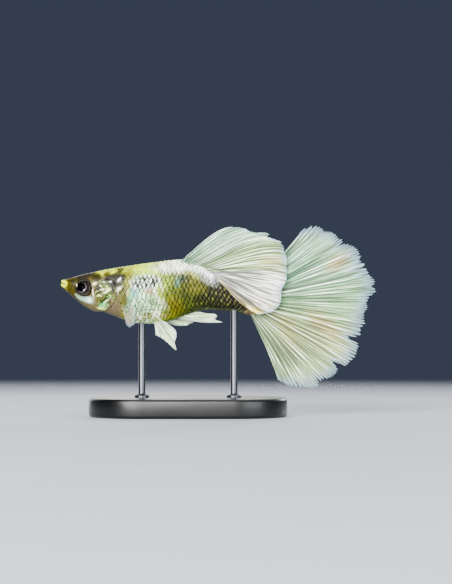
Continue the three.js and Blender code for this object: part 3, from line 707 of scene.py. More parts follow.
# Scales: thin overlapping plates in staggered rows, bent to the body
scaleShape = {
    "rows": 18, "spacing": 0.66, "length": 1.02, "halfWidthShare": 1.12, "lift": 0.07, "sunk": 0.03,
    "dome": 0.025, "thickness": 0.025, "acrossCells": 10, "lengthCells": 6, "rootShare": 0.4,
    "napeStart": 6.6, "napeRows": 3, "napeSlant": 2.2, "start": 9.05, "slant": 0.08, "middleRow": 8,
    "end": 30.0, "shrinkFrom": 24, "shrink": 0.25, "jitter": 0.04, "sizes": (0.95, 1.05),
    "widestAt": 0.3, "rootWidth": 0.8, "shownMiddle": 0.62, "shownLength": 0.33, "shownWidth": 1.5,
    "unwrapLength": 32, "patch": 0.003,  # the bake map: a small patch for each scale, where its root lies
}


def arcOf(x, turn):  # millimetres of skin for a turn of one radian
    step, least = 0.02, 0.3
    arc = np.linalg.norm(bodyPoint(x, turn + step) - bodyPoint(x, turn - step), axis=-1)
    return np.maximum(arc / (2 * step), least)


def scaleRoots(side):  # where each scale of one side grows, as x and turn round the body
    s = scaleShape
    xs, turns = [], []
    for row in range(s["rows"]):
        turn = math.pi * (row + 0.5) / s["rows"]
        if row > s["napeRows"]:
            start = s["start"] + s["slant"] * abs(row - s["middleRow"])
        else:
            start = s["napeStart"] + s["napeSlant"] * smoothStep(0, s["napeRows"] + 1, row)
        places = np.arange(start + (row % 2) * s["spacing"] / 2, s["end"], s["spacing"])
        xs.append(places)
        turns.append(np.full(len(places), turn * side))
    return np.concatenate(xs), np.concatenate(turns)


def scalePlate():  # a flat grid folded into a plate with two faces: p goes across and q from root to rim
    s = scaleShape
    shape = bmesh.new()
    bmesh.ops.create_grid(shape, x_segments=s["acrossCells"], y_segments=s["lengthCells"], size=1)
    corners = np.array([vert.co[:2] for vert in shape.verts])
    faces = np.array([[vert.index for vert in face.verts] for face in shape.faces])
    shape.free()
    corners = corners / np.abs(corners).max(0)
    p = 2 * np.abs(corners[:, 0]) - 1
    q = (corners[:, 1] + 1) / 2
    widest, rootWidth = s["widestAt"], s["rootWidth"]
    outline = np.sqrt(np.clip(1 - (np.clip(q - widest, 0, None) / (1 - widest)) ** 2, 0, 1))
    outline = outline * (rootWidth + (1 - rootWidth) * smoothStep(0, widest, q))
    full = np.sqrt(np.clip(1 - p ** 2, 0, 1)) * np.sqrt(np.clip(1 - q ** 6, 0, 1))  # 0 at the plate's edges
    height = -s["sunk"] + (s["lift"] + s["sunk"]) * q - s["dome"] * p ** 2
    height = height - np.where(corners[:, 0] <= 0, 0, s["thickness"] * full)
    rim = np.hypot(p / s["shownWidth"], (q - s["shownMiddle"]) / s["shownLength"])  # 0 in the middle
    return faces, p, q, outline, height, rim


def makeScales(name, side, seed, finish):
    s = scaleShape
    xs, turns = scaleRoots(side)
    rng = np.random.default_rng(seed)
    xs = xs + rng.uniform(-s["jitter"], s["jitter"], len(xs))
    tone = rng.uniform(0, 1, len(xs))
    size = rng.uniform(*s["sizes"], len(xs))
    faces, p, q, outline, height, rim = scalePlate()
    length = s["length"] * size * (1 - s["shrink"] * smoothStep(s["shrinkFrom"], s["end"], xs))
    halfArc = arcOf(xs, turns) * math.pi / s["rows"] * s["halfWidthShare"] * size
    x = xs[:, None] + (q[None] - s["rootShare"]) * length[:, None]
    turn = turns[:, None] + halfArc[:, None] * (p * outline)[None] / arcOf(x, turns[:, None] + 0 * x)
    base = bodyPoint(x, turn)
    spots = base + bodyNormal(x, turn) * height[None, :, None]
    count, each = x.shape
    allFaces = (faces[None] + (np.arange(count) * each)[:, None, None]).reshape(-1, 4)
    mesh = bpy.data.meshes.new(name)
    mesh.from_pydata(inFrame(spots).reshape(-1, 3), [], allFaces.tolist())
    setValues(mesh, {
        "bodyHeight": bodyHeight(base[..., 0], base[..., 2]),
        "scaleRim": np.tile(rim, (count, 1)),
        "scaleTone": np.repeat(tone[:, None], each, axis=1),
    })
    root = np.stack([xs / s["unwrapLength"], 0.5 + turns / (2 * math.pi)], axis=-1)
    local = np.stack([q - 0.5, p / 2], axis=-1) * s["patch"]
    setUnwrap(mesh, "OFBake", (root[:, None] + local[None]).reshape(-1, 2))
    closeUp(mesh)
    piece(name, mesh, finish, "skin_trunk")


# Eyes: marks as on the body, from the outer iris to the pupil, and a painted highlight (a silver glint)
# beside the pupil
eyeMarks = [
    [(56, 50, 50), 0.7, 3.5, -0.15, 1.0, 0.42, 0, 0.5],
    [(62, 55, 58), 0.85, 3.5, -0.9, 0.98, 0.94, 0, 0.1],
    [(104, 100, 98), 0.5, 3.25, -1.5, 0.6, 0.2, -16, 0.5],
    [(158, 154, 160), 0.75, 3.28, -0.8, 0.75, 0.76, 0, 0.05],
    [(60, 52, 56), 1.0, 3.2, -0.75, 0.74, 0.76, 0, 0.08],
    [(2, 2, 2), 1.0, 3.21, -0.745, 0.61, 0.62, 0, 0.1],
    # painted highlight: a small white glint below and right of the pupil
    [(230, 232, 236), 0.9, 3.7, -1.2, 0.15, 0.06, 48, 0.6],
]
eyeLooks = {
    "iris": (5, 4, 0.65), "irisLevel": (0.38, 0.66), "darkIris": (72, 68, 64), "lightIris": (136, 132, 124),
    "roughness": (0.16, 0.24), "specular": 0.0, "coat": 0.012, "coatRoughness": 0.04,
}


def eyeFinish():
    looks = eyeLooks
    finish = Finish("guppyEye")
    where = finish.fishSpace()
    iris = finish.noise(where, *looks["iris"])
    light = finish.step(iris, *looks["irisLevel"])
    color = finish.blend(tint(*looks["darkIris"]), tint(*looks["lightIris"]), light)
    return finish.coated(finish.marked(color, where, eyeMarks), iris, looks)


def makeEye(name, side, finish, node):
    e = eyeShape
    shape = bmesh.new()
    bmesh.ops.create_uvsphere(shape, u_segments=e["around"], v_segments=e["rings"], radius=1)
    for vert in shape.verts:
        x, z, y = vert.co  # the sphere's poles point to the sides
        place = (e["x"] + x * e["radius"], side * e["centreY"] + y * e["depth"], e["z"] + z * e["radius"])
        vert.co = inFrame(place)
    bmesh.ops.recalc_face_normals(shape, faces=shape.faces)
    piece(name, meshOf(shape, name), finish, "eye", node)


# Fins: a share u from 0 to 1 across the rays and v along them; sheets with a ridge for each branch of a ray
rayWander = [(0.28, 20.7, 1), (0.14, 48.4, 0)]  # waves in the rays' spacing: how far, how many, and start


def rayPhase(u, rays):  # counts the rays across the fin, unevenly spaced as real ones are
    phase = u * (rays - 1)
    for far, waves, start in rayWander:
        phase = phase + far * (np.sin(u * waves + start) - math.sin(start))
    return phase


def rayRidge(u, v, rays):  # each ray splits in two, and each half in two again
    phase = rayPhase(u, rays)
    whole = ((1 + np.cos(2 * math.pi * phase)) / 2) ** 3
    halves = ((1 - np.cos(4 * math.pi * phase)) / 2) ** 2
    quarters = ((1 - np.cos(8 * math.pi * phase)) / 2) ** 1.5
    first, second = smoothStep(0.28, 0.5, v), smoothStep(0.6, 0.8, v)
    return whole * (1 - first) + first * (halves * (1 - second) + quarters * second)


def uneven(count, seed):  # smooth random lengths, one for each ray or branch
    spread = np.random.default_rng(seed).uniform(-1, 1, count + 1)
    return lambda share: np.interp(share * count, np.arange(count + 1), spread)


def frayed(u, v, rays, depth, seed):  # how much shorter the sheet is between the tips of the branches
    tips = ((1 - np.cos(8 * math.pi * rayPhase(u, rays))) / 2) ** 0.8
    broad, long, fine = (uneven((rays - 1) * part, seed + part) for part in (1, 2, 8))
    short = (1 - tips) * (0.6 + 0.5 * fine(u)) + 0.6 * (1 + long(u)) + 0.6 * (1 + broad(u))
    return depth * short * v ** 9


def rayGap(u, v, fin):  # 1 on the thin line between two rays, as wide near the margin as at the root
    width, seed = 0.12, 77
    phase = rayPhase(u, fin["rays"])
    away = np.abs(phase - np.floor(phase) - 0.5) * (fin["raySpacing"] * v + width)
    deep = (1 + uneven(fin["rays"] - 1, seed)(np.floor(phase) / (fin["rays"] - 1))) / 2
    return hump(away, width) * (0.45 + 0.55 * deep)


def twoFaces(place, thick):  # wraps a sheet round both of its faces
    def both(across, v):
        u = 1 - np.abs(2 * across - 1)
        side = np.where(across <= 0.5, 1.0, -1.0)
        step = 1e-3
        sideways = place(np.minimum(u + step, 1), v) - place(np.maximum(u - step, 0), v)
        outward = place(u, np.minimum(v + step, 1)) - place(u, np.maximum(v - step, 0))
        normal = unit(np.cross(sideways, outward))
        margin = (1 - (2 * u - 1) ** 30) * (1 - v ** 24) * (1 - (1 - v) ** 60)
        return place(u, v) + normal * (side * thick(u, v) * margin / 2)[..., None]
    return both


def makeFin(name, fin, place, finish, slot, node):
    rays = fin["rays"]
    across = 2 * (rays - 1) * fin["cellsPerRay"]

    def thick(u, v):
        sheet = fin["sheet"] * (1 - 0.6 * v) + fin["root"] * np.exp(-v / 0.12)  # thick at the root
        return sheet + fin["ridge"] * (1 - 0.5 * v) * rayRidge(u, v, rays)

    def share(u):
        return 1 - np.abs(2 * u - 1)

    mesh = gridMesh(name, across, fin["rows"], twoFaces(place, thick), {
        "rayLine": lambda u, v: rayRidge(share(u), v, rays),
        "rayGap": lambda u, v: rayGap(share(u), v, fin),
    }, ("finMap", lambda u, v: (share(u), v)))
    piece(name, mesh, finish, slot, node)


def rayAt(root, tip, bow, v, peak=1.0):  # a place on a ray that bows from its chord, in the side view
    chord = tip - root
    across = np.stack([-chord[..., 1], chord[..., 0]], axis=-1)
    most = (peak / (1 + peak)) ** peak / (1 + peak)  # the greatest value of v ** peak * (1 - v)
    return root + chord * v[..., None] + across * (bow * v ** peak * (1 - v) / most)[..., None]


def sideView(table, u):  # a smooth curve through (u, x, z) places
    xs = [(at, x) for at, x, z in table]
    zs = [(at, z) for at, x, z in table]
    return np.stack([along(xs, u), along(zs, u)], axis=-1)


# Every fin names its rays, the cells of its mesh, the thickness of its sheet, root and ridges, how far its
# margin is frayed, and how far apart its rays are at the margin
tailFin = {
    "rays": 25, "rows": 84, "cellsPerRay": 16, "sheet": 0.09, "root": 0.55, "ridge": 0.13, "fray": 0.6,
    "raySpacing": 1.65, "seed": 3, "centre": (28.7, -3.1), "up": 51.6, "down": -67.2, "rootTop": -1.05,
    "rootBottom": -5.1, "rootX": 29.6, "pleats": 5.5, "pleatStart": 0.6, "pleatDepth": 0.26,
    "bow": 0.035, "straight": 0.45, "sway": 0.9, "swayFrom": 0.1, "swayWaves": 1.15, "longer": 0.15,
    "reach": [  # (degrees, mm from the centre)
        (-67.2, 14.4), (-60, 15.9), (-52, 17.3), (-42, 18.4), (-34, 19.2), (-27, 20.0), (-20, 19.7),
        (-12, 19.4), (-3, 19.9), (5, 21), (12, 20.9), (17, 20.3), (22, 20.1), (28, 19.5), (36, 18.5),
        (43, 17.4), (48, 16.3), (51.6, 14.7),
    ],
    "splits": [  # (degrees, depth, width)
        (-34.2, 1.7, 1.1), (-18.8, 1.8, 1.1), (-47, 0.6, 1.0), (31, 0.9, 0.8), (20, 0.7, 0.7),
        (7, 0.5, 0.6),
    ],
}


def tailPlace(u, v):
    t = tailFin
    degrees = t["down"] + (t["up"] - t["down"]) * u
    reach = along(t["reach"], degrees) + t["longer"]
    for at, depth, width in t["splits"]:
        reach = reach - depth * hump(degrees - at, width) * v ** 4
    reach = reach - frayed(u, v, t["rays"], t["fray"], t["seed"])
    turn = np.radians(degrees)
    tip = np.stack([np.cos(turn), np.sin(turn)], axis=-1) * reach[..., None] + t["centre"]
    root = np.stack([t["rootX"] + 0 * u, t["rootBottom"] + (t["rootTop"] - t["rootBottom"]) * u], axis=-1)
    spot = rayAt(root, tip, t["bow"] * (t["straight"] - u), v)
    pleat = np.sin(2 * math.pi * t["pleats"] * u + t["pleatStart"]) * np.minimum(v * 3, 1)
    sway = t["sway"] * v * v * np.sin(math.pi * (t["swayWaves"] * u + t["swayFrom"]))
    return np.stack([spot[..., 0], t["pleatDepth"] * pleat + sway, spot[..., 1]], axis=-1)


backFin = {
    "rays": 21, "rows": 80, "cellsPerRay": 14, "sheet": 0.09, "root": 0.3, "ridge": 0.13, "fray": 0.22,
    "raySpacing": 0.8, "seed": 8, "rootShift": (0.25, -0.75), "length": 1.01, "meanLength": 14,
    "bowPeak": 2.0, "leanFrom": 0.16, "leanBack": 0.25, "ripples": 3.5, "rippleDepth": 0.16, "room": 0.4,
    "base": [(0, 17.6, 3.4), (0.5, 21.1, 2.85), (1, 23.3, 1.85)],  # (share from the front ray, x, z)
    "tips": [
        (0, 26.2, 8.75), (0.1, 28.5, 8.5), (0.2, 30.4, 7.85), (0.3, 32.6, 7.7), (0.37, 33.4, 6.8),
        (0.44, 34.3, 6.4), (0.52, 34.9, 5.4), (0.6, 35.3, 3.9), (0.7, 35.5, 1.7), (0.78, 35.2, -0.1),
        (0.85, 34.5, -1.5), (0.92, 34.2, -3.5), (0.97, 33.0, -4.7), (1, 30.7, -5.15),
    ],
    "bow": [(0, 0.048), (0.15, 0.055), (0.3, 0.06), (0.5, 0.06), (0.75, 0.03), (1, -0.04)],
    "lean": [(0, 0.25), (0.3, 0.6), (0.5, 1.0), (0.7, 1.5), (0.85, 1.85), (1, 1.9)],
    "splits": [(0.335, 0.05, 0.012), (0.41, 0.04, 0.012), (0.24, 0.02, 0.01), (0.55, 0.025, 0.01)],
}


def clearOfFlank(x, z, lean, room):  # the lean, or more where the flank with some room round it stands out
    return (flankAt(np.minimum(x, 30.9), z, room) ** 4 + lean ** 4) ** 0.25


def backFinPlace(u, v):
    f = backFin
    root = sideView(f["base"], u) + f["rootShift"]  # inside the back
    chord = sideView(f["tips"], u) - root
    length = f["length"] - frayed(u, v, f["rays"], f["fray"], f["seed"]) / f["meanLength"]
    for at, depth, width in f["splits"]:
        length = length - depth * hump(u - at, width) * v ** 4
    spot = rayAt(root, root + chord * length[..., None], along(f["bow"], u), v, f["bowPeak"])
    lean = along(f["lean"], u) * (1 - np.exp(-v / f["leanFrom"])) * (1 - f["leanBack"] * v)
    ripple = f["rippleDepth"] * np.sin(2 * math.pi * f["ripples"] * u) * np.minimum(v * 2, 1)
    out = clearOfFlank(spot[..., 0], spot[..., 1], lean, f["room"]) * smoothStep(0, 0.14, v)
    return np.stack([spot[..., 0], -out + ripple, spot[..., 1]], axis=-1)


bellyFins = {
    "rays": 6, "rows": 40, "cellsPerRay": 16, "sheet": 0.09, "root": 0.25, "ridge": 0.12, "fray": 0.1,
    "raySpacing": 0.7, "meanLength": 4, "bow": 0.03, "room": 0.3,
    "rootX": 14.4, "rootZ": -5.75, "rootSpan": 0.75, "rootY": 0.62,
    "hanging": [
        (0, 14.8, -8.3), (0.2, 15.7, -8.75), (0.42, 17.0, -9.8), (0.6, 18.15, -10.8), (0.7, 17.85, -9.5),
        (0.8, 18.05, -8.6), (0.9, 18.05, -7.7), (1, 17.2, -6.75),
    ],
    "swept": [
        (0, 17.6, -6.75), (0.25, 18.9, -6.85), (0.5, 20.1, -6.65), (0.75, 21.1, -6.05), (1, 20.5, -5.45),
    ],
}


def bellyFinPlace(tips, side, spread, alongFlank, seed):
    f = bellyFins

    def place(u, v):
        root = np.stack([f["rootX"] + f["rootSpan"] * u, f["rootZ"] + 0 * u], axis=-1)
        length = 1 - frayed(u, v, f["rays"], f["fray"], seed) / f["meanLength"]
        tip = root + (sideView(f[tips], u) - root) * length[..., None]
        spot = rayAt(root, tip, f["bow"], v)
        out = f["rootY"] + spread * v
        if alongFlank:
            out = clearOfFlank(spot[..., 0], spot[..., 1], out, f["room"])
        return np.stack([spot[..., 0], side * out, spot[..., 1]], axis=-1)
    return place


gonopodium = {
    "rays": 7, "rows": 44, "cellsPerRay": 12, "sheet": 0.12, "root": 0.25, "ridge": 0.14, "fray": 0.1,
    "raySpacing": 0.4, "seed": 21, "meanLength": 6, "bow": -0.05, "rootY": 0.05, "tipY": -0.1,
    "base": [(0, 17.4, -5.35), (1, 20.0, -4.5)],
    "tips": [
        (0, 25.5, -6.3), (0.17, 24.1, -5.8), (0.34, 24.5, -5.35), (0.5, 24.2, -5.0), (0.67, 22.9, -4.88),
        (0.83, 22.2, -4.76), (1, 21.6, -4.66),
    ],
}


def gonopodiumPlace(u, v):
    f = gonopodium
    root = sideView(f["base"], u)
    length = 1 - frayed(u, v, f["rays"], f["fray"], f["seed"]) / f["meanLength"]
    tip = root + (sideView(f["tips"], u) - root) * length[..., None]
    spot = rayAt(root, tip, f["bow"] * (1 - u), v)
    return np.stack([spot[..., 0], f["rootY"] + (f["tipY"] - f["rootY"]) * v, spot[..., 1]], axis=-1)


breastFins = {
    "rays": 13, "rows": 40, "cellsPerRay": 8, "sheet": 0.04, "root": 0.2, "ridge": 0.08, "fray": 0.2,
    "raySpacing": 0.3, "length": 6.6, "rounding": 0.175, "fan": 32,  # the fan in degrees
    "rootMiddle": (9.5, 2.3, -1.2), "rootSpan": 1.0,
    "lengthwise": (0.3, 0.42, -0.85), "crosswise": (0.36, 0.86, 0.5), "rootLine": (0.55, 0, 0.83),
}


def breastFinPlace(side, seed):
    f = breastFins
    lengthwise = unit(np.array(f["lengthwise"]))
    crosswise = np.array(f["crosswise"])
    crosswise = unit(crosswise - lengthwise * (crosswise @ lengthwise))

    def place(u, v):
        turn = np.radians(f["fan"] * (u - 0.5))
        length = f["length"] * (1 - f["rounding"] * (2 * u - 1) ** 2)  # shorter towards both edges
        reach = (length - frayed(u, v, f["rays"], f["fray"], seed)) * v
        spot = np.array(f["rootMiddle"]) + lengthwise * (reach * np.cos(turn))[..., None]
        spot = spot + crosswise * (reach * np.sin(turn))[..., None]
        spot = spot + np.array(f["rootLine"]) * (f["rootSpan"] * (u - 0.5))[..., None]
        return spot * (1, side, 1)
    return place


tailMarks = [  # tints on the fins in the side view, as the body's marks
    [(150, 176, 150), 0.8, 31.0, -2.4, 2.6, 2.8, 0, 0.6],
    [(176, 200, 176), 0.5, 37.5, 5.0, 4.0, 2.6, 40, 0.6],
    [(176, 208, 172), 0.7, 31.5, -1.2, 3.2, 2.6, 0, 0.6],
    [(176, 206, 186), 0.6, 36.0, 2.5, 3.4, 2.4, 30, 0.6],
    [(214, 196, 168), 0.6, 43.5, 3.4, 2.4, 1.0, 40, 0.5],
    [(214, 198, 164), 0.55, 41.0, -6.6, 3.2, 1.3, -38, 0.6],
    [(206, 206, 168), 0.5, 35.5, -8.0, 3.2, 1.6, -60, 0.6],
]
backFinMarks = [
    [(214, 210, 180), 0.6, 32.4, 3.4, 2.2, 0.9, -4, 0.6],
    [(150, 182, 156), 0.8, 20.6, 4.2, 1.9, 0.9, 45, 0.5],
    [(226, 222, 132), 0.8, 30.6, -4.6, 1.2, 0.5, -35, 0.5],
    [(234, 214, 150), 0.65, 28.9, -4.1, 1.0, 0.26, -45, 0.5],
    [(224, 190, 168), 0.7, 31.9, -3.3, 1.3, 0.2, -34, 0.5],
]
backFinFoldShadows = [  # shadows in the bundle of rays that falls over the flank
    [(98, 108, 96), 0.85, 27.0, 1.15, 3.6, 0.26, -17.5, 0.6],
    [(88, 90, 94), 0.85, 27.9, -0.5, 3.4, 0.27, -28, 0.6],
    [(108, 110, 112), 0.8, 30.6, -1.0, 2.8, 0.21, -24, 0.6],
    [(90, 90, 94), 0.85, 28.0, -2.0, 2.8, 0.25, -37, 0.6],
    [(116, 112, 108), 0.8, 30.4, -3.2, 2.1, 0.18, -33, 0.6],
]


finLooks = {
    "tail": {
        "streaks": 84, "seed": 2.0, "shade": 0.24, "gapShare": 1.0, "fringe": 0.8, "fade": 0.97,
        "alpha": 0.98, "rayAlpha": 1.0, "rootAlpha": 1.0, "marks": tailMarks, "foldShadows": [],
        "across": [
            (0.0, (184, 200, 175)), (0.2, (196, 208, 180)), (0.35, (201, 208, 178)), (0.5, (188, 209, 180)),
            (0.68, (181, 205, 182)), (0.85, (184, 205, 183)), (1.0, (196, 212, 198)),
        ],
    },
    "back": {
        "streaks": 60, "seed": 7.0, "shade": 0.14, "gapShare": 1.0, "fringe": 0.93, "fade": 0.6,
        "alpha": 0.98, "rayAlpha": 1.0, "rootAlpha": 1.0, "marks": backFinMarks, "foldShadows": backFinFoldShadows,
        "across": [
            (0.0, (236, 246, 238)), (0.06, (190, 216, 198)), (0.2, (204, 226, 202)), (0.32, (234, 246, 232)),
            (0.42, (192, 212, 178)), (0.6, (206, 220, 188)), (0.7, (212, 224, 190)), (0.76, (254, 255, 252)),
            (0.95, (250, 251, 244)), (1.0, (246, 238, 204)),
        ],
    },
    "low": {
        "streaks": 24, "seed": 11.0, "shade": 0.34, "gapShare": 1.0, "fringe": 0.94, "fade": 0.4,
        "alpha": 0.95, "rayAlpha": 1.0, "rootAlpha": 1.0, "marks": [], "foldShadows": [],
        "across": [(0.0, (236, 246, 232)), (0.5, (234, 245, 216)), (1.0, (236, 246, 234))],
    },
    "clear": {  # the breast fins, whose web is clearest near the root
        "streaks": 20, "seed": 15.0, "shade": 0.7, "gapShare": 0.0, "fringe": 0.8, "fade": 0.6,
        "alpha": 0.24, "rayAlpha": 0.45, "rootAlpha": 0.4,
        "marks": [[(140, 138, 30), 0.95, 9.9, -1.8, 1.3, 3.0, 6, 0.5]], "foldShadows": [],
        "across": [(0.0, (206, 204, 190)), (1.0, (214, 212, 200))],
    },
}
finPaint = {  # what all the fins share
    "fine": (1.0, 3, 0.6), "fineStretch": 1.4, "broad": (1.0, 2, 0.5), "broadShare": 0.25,
    "broadStretch": 1.2, "dark": (0.68, 0.97), "white": (0.99, 1.14), "streakWhite": (254, 255, 252),
    "gapShade": 0.08, "gapEnd": (1.0, 0.55), "gapStreak": (0.75, 0.35, 0.55, 1.0),
    "fringeColor": (206, 222, 232), "fringeShare": 0.7, "veil": (0.5, 0.8), "roughness": (0.4, 0.56),
    "specular": 0.2, "coat": 0.03, "coatRoughness": 0.2, "relief": 0.6, "bump": (0.35, 0.00012),
}


def finFinish(name, looks):  # u runs across the rays and v along them, as in the fin's mesh
    paints = finPaint
    finish = Finish(name)
    where = finish.fishSpace()
    own = finish.add("UVMap", {"uv_map": "finMap"})
    u, v = finish.part(own, "X"), finish.part(own, "Y")

    def streaked(count, stretch, seed, noise):
        place = finish.add("CombineXYZ", None, {"X": u * count, "Y": v * stretch, "Z": seed})
        return finish.noise(place, *noise)

    streak = streaked(looks["streaks"], paints["fineStretch"], looks["seed"], paints["fine"])
    broad = streaked(looks["streaks"] * paints["broadShare"], paints["broadStretch"], looks["seed"] + 4,
                     paints["broad"])
    line, gap = finish.attribute("rayLine"), finish.attribute("rayGap")
    base = finish.marked(finish.ramp(u, tints(looks["across"])), where, looks["marks"])
    level = line * 0.25 + streak * 1.5 + broad * 0.6 - 0.3  # low between the streaks and high on them
    color = finish.blend(finish.scaled(base, looks["shade"]), base, finish.step(level, *paints["dark"]))
    color = finish.blend(color, tint(*paints["streakWhite"]), finish.step(level, *paints["white"]))
    # painted shadows between the folded rays of the back fin
    color = finish.marked(color, where, looks["foldShadows"])
    dark = gap * finish.step(v, *paints["gapEnd"]) * finish.step(streak, *paints["gapStreak"])
    color = finish.blend(color, finish.scaled(base, paints["gapShade"]), dark * looks["gapShare"])
    fringe = finish.step(v + (streak - 0.5) * 0.5, looks["fringe"], 1.0)
    color = finish.blend(color, tint(*paints["fringeColor"]), fringe * paints["fringeShare"])
    veil = finish.step(v, *paints["veil"], looks["rootAlpha"], 1.0)
    web = veil * looks["alpha"] + (1 - looks["alpha"]) * line * looks["rayAlpha"]
    alpha = web * (1 - fringe * looks["fade"] * (1 - line * 0.3))
    relief = finish.bump((line + streak) * paints["relief"], *paints["bump"])
    return finish.coated(color, streak, paints, Alpha=alpha, Normal=relief)


# Stand: a satin black plate with two steel rods in small collars
standShape = {
    "corner": 8.4, "cornerSegments": 20, "bevel": 0.5, "bevelSegments": 4, "front": 12.6, "rear": 27.0,
    "radius": 0.55, "collarRadius": 1.15, "collarHeight": 0.7, "intoBelly": 0.35, "steps": 40,
    "sunk": 0.1, "chamfer": 0.12, "hollow": 0.1, "sharpFrom": 35,  # degrees
}
plateLooks = {
    "dark": (30, 31, 34), "light": (40, 41, 45), "haze": (120, 2, 0.5), "grain": (2600, 3, 0.6),
    "roughness": (0.3, 0.4), "specular": 0.3, "coat": 0.1, "coatRoughness": 0.15, "bump": (0.08, 0.00002),
}
steelLooks = {
    "color": (128, 130, 134), "stretch": (900, 900, 12000), "lines": (1.0, 2, 0.5),
    "roughness": (0.28, 0.4),
}


def plateFinish():
    looks = plateLooks
    finish = Finish("standPlate")
    own = finish.objectSpace()
    haze, grain = finish.noise(own, *looks["haze"]), finish.noise(own, *looks["grain"])
    color = finish.blend(tint(*looks["dark"]), tint(*looks["light"]), haze)
    return finish.coated(color, haze, looks, Normal=finish.bump(grain, *looks["bump"]))


def steelFinish():
    looks = steelLooks
    finish = Finish("standSteel")
    lines = finish.noise(finish.stretched(finish.objectSpace(), looks["stretch"]), *looks["lines"])
    return finish.surface({
        "Base Color": tint(*looks["color"]), "Metallic": 1.0,
        "Roughness": finish.between(lines, looks["roughness"])})


def makePlate():
    s = standShape
    low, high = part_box("stand_base")
    shape = bmesh.new()
    bmesh.ops.create_cube(shape, size=1)
    bmesh.ops.scale(shape, vec=high - low, verts=shape.verts)
    bmesh.ops.translate(shape, vec=(low + high) / 2, verts=shape.verts)
    upright = [e for e in shape.edges if abs(e.verts[0].co.z - e.verts[1].co.z) > mm]
    bmesh.ops.bevel(shape, geom=upright, offset=s["corner"] * mm, offset_type="OFFSET", affect="EDGES",
                    segments=s["cornerSegments"], profile=0.5, material=-1)
    rims = [e for e in shape.edges if abs(e.verts[0].co.z - e.verts[1].co.z) < mm / 10]
    bmesh.ops.bevel(shape, geom=rims, offset=s["bevel"] * mm, offset_type="OFFSET", affect="EDGES",
                    segments=s["bevelSegments"], profile=0.5, material=-1)
    piece("standPlate", meshOf(shape, "standPlate"), plateFinish(), "stand_plate", "stand_base")


def makeRod(name, x, finish, node):
    s = standShape
    floor = (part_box("stand_base")[1].z / mm) - fishPlace["snoutZ"]
    top = along(bodyShape["belly"], x) + s["intoBelly"]
    r, wide, tall = s["radius"], s["collarRadius"], s["collarHeight"]
    sunk, chamfer = s["sunk"], s["chamfer"]
    profile = [  # (out from the rod's middle, height)
        (0, floor - sunk), (wide - sunk, floor - sunk), (wide, floor), (wide, floor + tall * 0.45),
        (wide - chamfer, floor + tall * 0.6), (r + s["hollow"], floor + tall * 0.75), (r, floor + tall),
        (r, top - chamfer), (r - chamfer, top), (0, top),
    ]
    shape = bmesh.new()
    verts = [shape.verts.new(inFrame([x + out, 0, z])) for out, z in profile]
    edges = [shape.edges.new(pair) for pair in zip(verts, verts[1:])]
    bmesh.ops.spin(shape, geom=verts + edges, cent=inFrame([x, 0, 0]), axis=(0, 0, 1), angle=2 * math.pi,
                   steps=s["steps"], use_merge=True)
    bmesh.ops.remove_doubles(shape, verts=shape.verts, dist=1e-7)
    bmesh.ops.recalc_face_normals(shape, faces=shape.faces)
    for edge in shape.edges:
        edge.smooth = len(edge.link_faces) == 2 and edge.calc_face_angle(0) < math.radians(s["sharpFrom"])
    piece(name, meshOf(shape, name), finish, "stand_steel", node)


# Floor, light and camera
stageLooks = {
    "floorRadius": 0.45, "floorSegments": 96, "floorMiddle": (0.0, -0.22, 0.0), "fade": (0.27, 0.4),
    "floor": tint(196, 199, 203), "floorGrain": (60, 3, 0.6), "floorRoughness": (0.6, 0.72),
    "world": (0.042, 0.052, 0.082, 1.0), "worldStrength": 1.0, "lightsAim": (0, 0, 0.02),
}
lights = [  # place in metres, size, power, colour
    ("keyLight", (-0.22, -0.6, 0.24), 0.6, 23.5, (1.0, 0.985, 0.96)),
    ("fillLight", (0.45, -0.5, 0.1), 0.5, 7.0, (0.95, 0.975, 1.0)),
    ("topLight", (0.02, 0.05, 0.5), 0.45, 1.7, (1.0, 1.0, 1.0)),
    ("rimLight", (0.3, 0.45, 0.25), 0.3, 3.2, (0.95, 0.98, 1.0)),
    ("rearLight", (-0.2, 0.6, 0.22), 0.6, 2.5, (1.0, 0.99, 0.97)),
]
cameraSetting = {  # distance and clip in metres, all else in mm
    "distance": 0.4, "clip": (0.01, 10), "lens": 157.8, "sensor": 36.0, "x": 5.94, "z": 19.47,
}


def makeFloor():
    shape = bmesh.new()
    bmesh.ops.create_circle(shape, cap_ends=True, segments=stageLooks["floorSegments"],
                             radius=stageLooks["floorRadius"])
    bmesh.ops.translate(shape, vec=stageLooks["floorMiddle"], verts=shape.verts)
    floor = inScene("floor", meshOf(shape, "floor"))
    finish = Finish("floorPaint")
    own = finish.objectSpace()
    far = finish.length(finish.combined("SUBTRACT", own, stageLooks["floorMiddle"]))
    grain = finish.noise(own, *stageLooks["floorGrain"])
    floor.data.materials.append(finish.surface({
        "Base Color": stageLooks["floor"],
        "Roughness": finish.between(grain, stageLooks["floorRoughness"]),
        "Alpha": finish.step(far, *stageLooks["fade"], 1, 0)}))


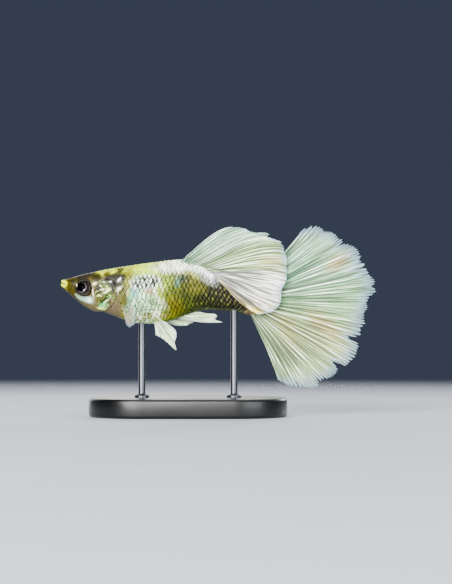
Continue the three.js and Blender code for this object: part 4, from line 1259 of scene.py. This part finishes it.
def makeLights():
    aim = Vector(stageLooks["lightsAim"])
    for name, place, size, power, color in lights:
        data = bpy.data.lights.new(name, "AREA")
        data.shape = "DISK"
        data.size, data.energy, data.color = size, power, color
        lamp = inScene(name, data)
        lamp.location = place
        lamp.rotation_euler = (aim - Vector(place)).to_track_quat("-Z", "Y").to_euler()
    world = bpy.data.worlds.new("studio")
    world.use_nodes = True
    shade = world.node_tree.nodes["Background"]
    shade.inputs["Color"].default_value = stageLooks["world"]
    shade.inputs["Strength"].default_value = stageLooks["worldStrength"]
    bpy.context.scene.world = world


def makeCamera():
    c = cameraSetting
    data = bpy.data.cameras.new("view")
    data.lens, data.sensor_width = c["lens"], c["sensor"]
    data.clip_start, data.clip_end = c["clip"]
    camera = inScene("view", data)
    camera.location = (c["x"] * mm, -c["distance"], c["z"] * mm)
    camera.rotation_euler = (math.pi / 2, 0, 0)
    bpy.context.scene.camera = camera


makeCamera()
makeFloor()
makeLights()
print("camera, floor and lights made")

makeSkin()
print("skin made")
scaleMaterial = scaleFinish()
makeScales("scalesLeft", -1, 31, scaleMaterial)
makeScales("scalesRight", 1, 32, scaleMaterial)
print("scales made")
eyeMaterial = eyeFinish()
makeEye("eyeLeft", -1, eyeMaterial, "eye_left")
makeEye("eyeRight", 1, eyeMaterial, "eye_right")
print("eyes made")
makeFin("tailFin", tailFin, tailPlace, finFinish("tailFin", finLooks["tail"]), "fin", "tail_fin")
makeFin("backFin", backFin, backFinPlace, finFinish("backFin", finLooks["back"]), "fin", "back_fin")
lowFin = finFinish("lowFins", finLooks["low"])
hanging = bellyFinPlace("hanging", -1, 1.1, False, 41)
swept = bellyFinPlace("swept", 1, 0.75, True, 42)
makeFin("bellyFinLeft", bellyFins, hanging, lowFin, "fin", "belly_fin_left")
makeFin("bellyFinRight", bellyFins, swept, lowFin, "fin", "belly_fin_right")
makeFin("gonopodium", gonopodium, gonopodiumPlace, lowFin, "fin", "gonopodium")
clearFin = finFinish("clearFins", finLooks["clear"])
makeFin("breastFinLeft", breastFins, breastFinPlace(-1, 51), clearFin, "clear_fin", "breast_fin_left")
makeFin("breastFinRight", breastFins, breastFinPlace(1, 52), clearFin, "clear_fin", "breast_fin_right")
print("fins made")
makePlate()
steel = steelFinish()
makeRod("standRodFront", standShape["front"], steel, "stand_rod_front")
makeRod("standRodRear", standShape["rear"], steel, "stand_rod_rear")
print("stand made")
